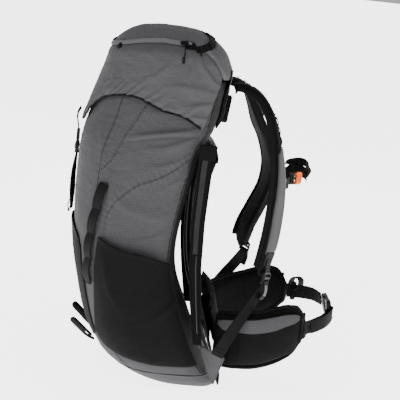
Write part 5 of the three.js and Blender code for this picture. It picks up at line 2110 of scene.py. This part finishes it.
def belt_sheet(
    name, wing, us, lows, highs, extra, thick, material, body, replaces=(), rows=40,
    side=-1, seed=0.0, slack=0.8
):
    u = np.asarray(us, float)[None]
    v = lerp(
        np.asarray(lows, float)[None], np.asarray(highs, float)[None],
        np.linspace(0, 1, rows)[:, None]
    )
    uu = u + 0 * v
    p, n = wing.point(uu, v)
    lift = outer_rise(uu, v) + extra + slack * noisy(p, 22, seed, 2)
    p = p + n * lift[..., None]
    flip = np.array((1, -side, 1.0))
    return sheet(
        name, p * flip, thick, material, body, replaces, normals=n * flip
    ), p * flip, n * flip


def build_belt():
    wing = Wing()
    u = np.linspace(0, 1, 70)[None]
    v = np.linspace(0, 1, 40)[:, None]
    half = 1.2 + 5.6 * round_edge(v, 4) * round_edge(u, 8)
    p, n = wing.point(u, v)
    flip = np.array((1, -1, 1.0))
    pad = pad_between(
        "hip_wing_right_foam", p + n * half[..., None], p - n * half[..., None], FOAM, "belt_right",
        "hip_wing_right"
    )
    puff(pad, 4.5, cap=2.0)
    other = mirrored(pad, "hip_wing_left_foam", "belt_left", "hip_wing_left")
    for word, side in (("right", -1), ("left", 1)):
        body = f"belt_{word}"
        flip = np.array((1, -side, 1.0))
        rim = edge_loop(p) * flip
        tube(
            f"hip_wing_{word}_binding", rim[::5], 3.4, BINDING, body, closed=True, sides=10,
            squash=1.0
        )
        us = np.linspace(0.03, 0.9, 80)
        top = table([(0.03, 0.86), (0.1, 0.885), (0.5, 0.895), (0.78, 0.88), (0.9, 0.83)], us)
        split = table(
            [(0.03, 0.78), (0.12, 0.68), (0.3, 0.64), (0.6, 0.63), (0.78, 0.68), (0.9, 0.8)], us
        )
        belt_sheet(
            f"hip_band_{word}", wing, us, split, top, 0.2, 1.3, BELT_GREY, body,
            f"hip_pocket_{word}", rows=16, side=side, seed=4.0, slack=0.3
        )
        low = table([(0.03, 0.06), (0.5, 0.055), (0.9, 0.1)], us)
        _s, q, m = belt_sheet(
            f"hip_pocket_{word}_knit", wing, us, low, split - 0.004, 0.4, 1.3, STRETCH, body,
            rows=44, side=side, seed=8.0
        )
        line = q[-1, 1:-1:3] + m[-1, 1:-1:3] * 0.3
        tube(f"hip_pocket_{word}_seam", line, 1.1, BINDING, body, sides=8)
        stitches(
            f"hip_pocket_{word}_seam_stitches", q[-4, 2:-2] + m[-4, 2:-2] * 0.3, m[-4, 2:-2],
            THREAD, body
        )
        t, tn = wing.point(us, top, outer_rise(us, top) + 0.4)
        tube(f"hip_band_{word}_piping", (t * flip)[::4], 1.2, BINDING, body, sides=8)
        # Zip down the wing's front end, with its pull.
        vz = np.linspace(0.84, 0.2, 60)
        uz = np.full(60, 0.865)
        z, zn = wing.point(uz, vz, outer_rise(uz, vz) + 2.3)
        zipper(f"hip_zip_{word}", z * flip, zn * flip, body, width=8.0)
        tacks = []
        for vv in (0.79, 0.71):
            a, an = wing.point(np.array([0.9, 0.975]), np.array([vv, vv]), np.array([9.2, 8.2]))
            tacks.append(tube("tack", even(a * flip, 10), 1.3, THREAD, body, sides=6, smooth=False))
        join(f"hip_wing_{word}_tacks", tacks)
        slider(f"hip_zip_slider_{word}", f"hip_slider_{word}", side)
        # The webbing's anchor on the wing's tip.
        a, an = wing.point(np.linspace(0.915, 0.995, 16), np.full(16, 0.5) , np.full(16, 9.0))
        swept(
            f"belt_anchor_{word}", a * flip, np.tile((0.0, 0, 1), (16, 1)), flat_section(30, 2.0),
            BINDING, body
        )
    bz = 170.0
    across = [(0, 0, 1), (-0.05, 0, 1), (-0.25, 0, 1)]
    far = [(205, 112.5, 163), (222, 97, 167), (246, 72, 171), (259, 45, bz)]
    near = [(205, -112.5, 156), (222, -97, 158), (246, -72, 163), (259, -45, bz)]
    strap(
        "belt_webbing_left_strap", far, across, 25, 1.8, WEBBING_BLACK, "belt_left",
        "belt_webbing_left", count=44
    )
    strap(
        "belt_webbing_right_strap", near, across, 25, 1.8, WEBBING_BLACK, "belt_right",
        "belt_webbing_right", count=44
    )
    tail = [
        (258, -47, bz + 1), (263, -50, bz + 1), (252, -72, 164), (232, -92, 159), (218, -103, 157)
    ]
    strap("belt_tail_right", tail, across, 24, 1.5, WEBBING_BLACK, "belt_right", count=36)
    buckle(
        "belt", np.array((262.5, -1.0, bz)), np.array((0, -1.0, 0)), np.array((1.0, 0, 0.25)), 37,
        PLASTIC, PLASTIC, "belt_left", "belt_right", 27
    )
    m = placed((216, 103, 166), (0, 0, 1), (0.74, -0.67, 0.1))
    plate(
        "webbing_keeper_ring", rounded(34.5, 9.6, 2.2), 6.4, PLASTIC, "belt_left", m,
        [rounded(29.4, 5.6, 1.2)], 0.8, "webbing_keeper"
    )
    loop = [
        (209, 108, 170), (213, 106, 188), (220, 100, 194), (226, 94, 190), (226, 95, 176),
        (220, 100, 168)
    ]
    strap(
        "belt_tail_left", loop, [(-0.6, -0.7, 0.1)], 20, 1.5, WEBBING_BLACK, "belt_left", count=40
    )


def slider(node, body, side, tilt=(0, 0, 1)):
    """A zip slider with a cord pull, on its CAD place."""
    low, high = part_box(node)
    c = (np.array(low) + np.array(high)) / 2 * 1000
    c[2] += FOOT
    out = unit(np.array((0.55, side * 0.83, 0)))
    m = placed(c, tilt, out)
    outline = [
        (-6.4, -2.2), (-4.6, -3.6), (4.2, -3.9), (6.6, -2.6), (6.6, 2.6), (4.2, 3.9), (-4.6, 3.6),
        (-6.4, 2.2)
    ]
    plate(f"{node}_body", outline, 2.6, PLASTIC, body, m, (), 0.6, node)
    bridge = [
        c - np.array(tilt) * 4 + out * 1.2, c - np.array(tilt) * 2 + out * 3.2,
        c + np.array(tilt) * 2 + out * 3.2, c + np.array(tilt) * 4 + out * 1.2
    ]
    strap(f"{node}_bridge", bridge, [np.cross(out, tilt)], 2.6, 1.0, PLASTIC, body, count=10)
    drop = np.array((0.0, 0.0, -1.0))
    a = c + out * 3.4
    cord = [a, a + drop * 8 + out * 2.0, a + drop * 22 + out * 2.6, a + drop * 36 + out * 2.2]
    grip = tube(
        f"{node}_grip", even([cord[3] - drop * 11, cord[3] + drop * 1.5], 8), 2.4, RUBBER, body,
        sides=10, smooth=False
    )
    free_cord(f"{node}_pull", cord, 1.0, body)


# ---------- lid fittings ----------
def build_lid_fittings():
    low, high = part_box("lid_zip_slider")
    c = (np.array(low) + np.array(high)) / 2 * 1000
    c[2] += FOOT
    out = unit(np.array((0, -0.75, 0.66)))
    outline = [
        (-6.4, -2.2), (-4.6, -3.6), (4.2, -3.9), (6.6, -2.6), (6.6, 2.6), (4.2, 3.9), (-4.6, 3.6),
        (-6.4, 2.2)
    ]
    plate(
        "lid_zip_slider_body", outline, 2.6, PLASTIC, "lid_slider", placed(c, (1, 0, -0.03), out),
        (), 0.6, "lid_zip_slider"
    )
    a = c + out * 2.5
    cord = [a, a + (1, -4, -4), a + (2, -8.0, -15), a + (1, -10.0, -33)]
    grip = tube(
        "lid_zip_slider_grip", even([cord[3] + (0, 0, 9), cord[3] + (0, 0, -1)], 8), 2.4, RUBBER,
        "lid_slider", sides=10, smooth=False
    )
    free_cord("lid_zip_slider_pull", cord, 1.0, "lid_slider")
    # The webbing patch over the rear corner, with a bar tack and a cord pull below it.
    v = np.linspace(0, 1, 60)[:, None]
    w = np.linspace(-1, 1, 12)[None]
    p = lid_at(lerp(-84, -21, v) + 0 * w, lerp(607, 630, v) + w * 4.6)
    n = unit(p - (-60, 0, 540))
    q = p + n * (2.6 + 0.25 * lid_relief(p))[..., None]
    sheet(
        "lid_corner_webbing", q, 1.8, WEBBING_BLACK, "lid", "lid_corner_patch", normals=n
    )
    for k, r in enumerate((5, 22, 54)):
        e = q[r, 1:-1] + n[r, 1:-1] * 0.6
        tube(f"lid_corner_tack_{k}", even(e, 12), 1.1, THREAD, "lid", sides=6, smooth=False)
    start = q[3, 3] + n[3, 3] * 1.0
    drop = [
        start, start + (2, -3, -6), start + (4, -5, -18), start + (6, -6.5, -32),
        start + (8, -7, -44)
    ]
    knot = np.array(drop[-1])
    grip = tube(
        "lid_pull_grip", even([knot + (0, 0, 12), knot + (0.4, 0, -2)], 8), 3.0, RUBBER, "lid",
        sides=10, smooth=False
    )
    free_cord("lid_pull_cord", drop, 1.2, "lid")
    # Front strap, buckle and tail.
    strap(
        "lid_strap_webbing",
        [(-208.5, 0, 482), (-212.5, 0, 474), (-213, 0, 463), (-210.5, 0, 450), (-210.2, 0, 444)],
        [(0, 1, 0)], 20, 1.8, WEBBING_BLACK, "lid", "lid_strap", count=20
    )
    strap(
        "lid_strap_box", [(-209.5, 0, 484), (-213.6, 0, 476), (-214.2, 0, 465)], [(0, 1, 0)], 26,
        1.6, BINDING, "lid", count=12
    )
    buckle(
        "lid", np.array((-209.8, 0, 423.5)), np.array((0, 0, 1.0)), np.array((-1.0, 0, 0)), 27,
        PLASTIC, PLASTIC, "bag", "lid", 21
    )
    tail = [(-209, 0, 408), (-211, 0, 385), (-211.8, 0, 362), (-211, 0, 332), (-210, 0, 306)]
    strap(
        "lid_catch_webbing_tail", tail, [(0, 1, 0), (0.3, 1, 0.1), (0.42, 1, 0), (0.1, 1, 0)], 20,
        3.2, WEBBING_BLACK, "bag", "lid_catch_webbing", count=44
    )
    strap(
        "lid_tail_fold",
        [(-210.2, 0, 316), (-212.6, 0, 306), (-214.0, 0, 300), (-216.0, 0, 306), (-215.0, 0, 318)],
        [(0, 1, 0)], 20.5, 1.4, WEBBING_BLACK, "bag", count=20
    )
    tube(
        "lid_tail_tack", even([(-216.2, -8.5, 312), (-216.2, 8.5, 312)], 12), 0.9, THREAD_LIGHT,
        "bag", sides=6, smooth=False
    )
    # Cloth across the lid's hinge.
    u = np.linspace(-1, 1, 60)[None]
    v = np.linspace(0, 1, 26)[:, None]
    z = lerp(544.0, 578.0, v)
    x = 34.0 + 4.2 * np.clip(v * 1.4, 0, 1)
    p = np.stack(np.broadcast_arrays(x + 1.2 - 3.0 * np.abs(u) ** 4, u * 92, z), -1)
    p = p + np.array((1.0, 0, 0)) * (0.5 * noisy(p, 16, 8.0, 2))[..., None]
    n = np.broadcast_to(np.array((1.0, 0, 0)), p.shape)
    strip = sheet("lid_hinge_cloth", p, 1.2, LID_TOP_PAINTED_LIT, None, normals=n)
    tuple(mm((37, 0, 554.0)))
    tuple(mm((37, 0, 570.0)))
    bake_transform(strip)


build_walls()
build_seams()
build_pockets()
build_trim()
build_collar()
build_lid()
build_lid_fittings()
build_back()
build_straps()
build_lower_webbing()
build_sternum()
build_belt()
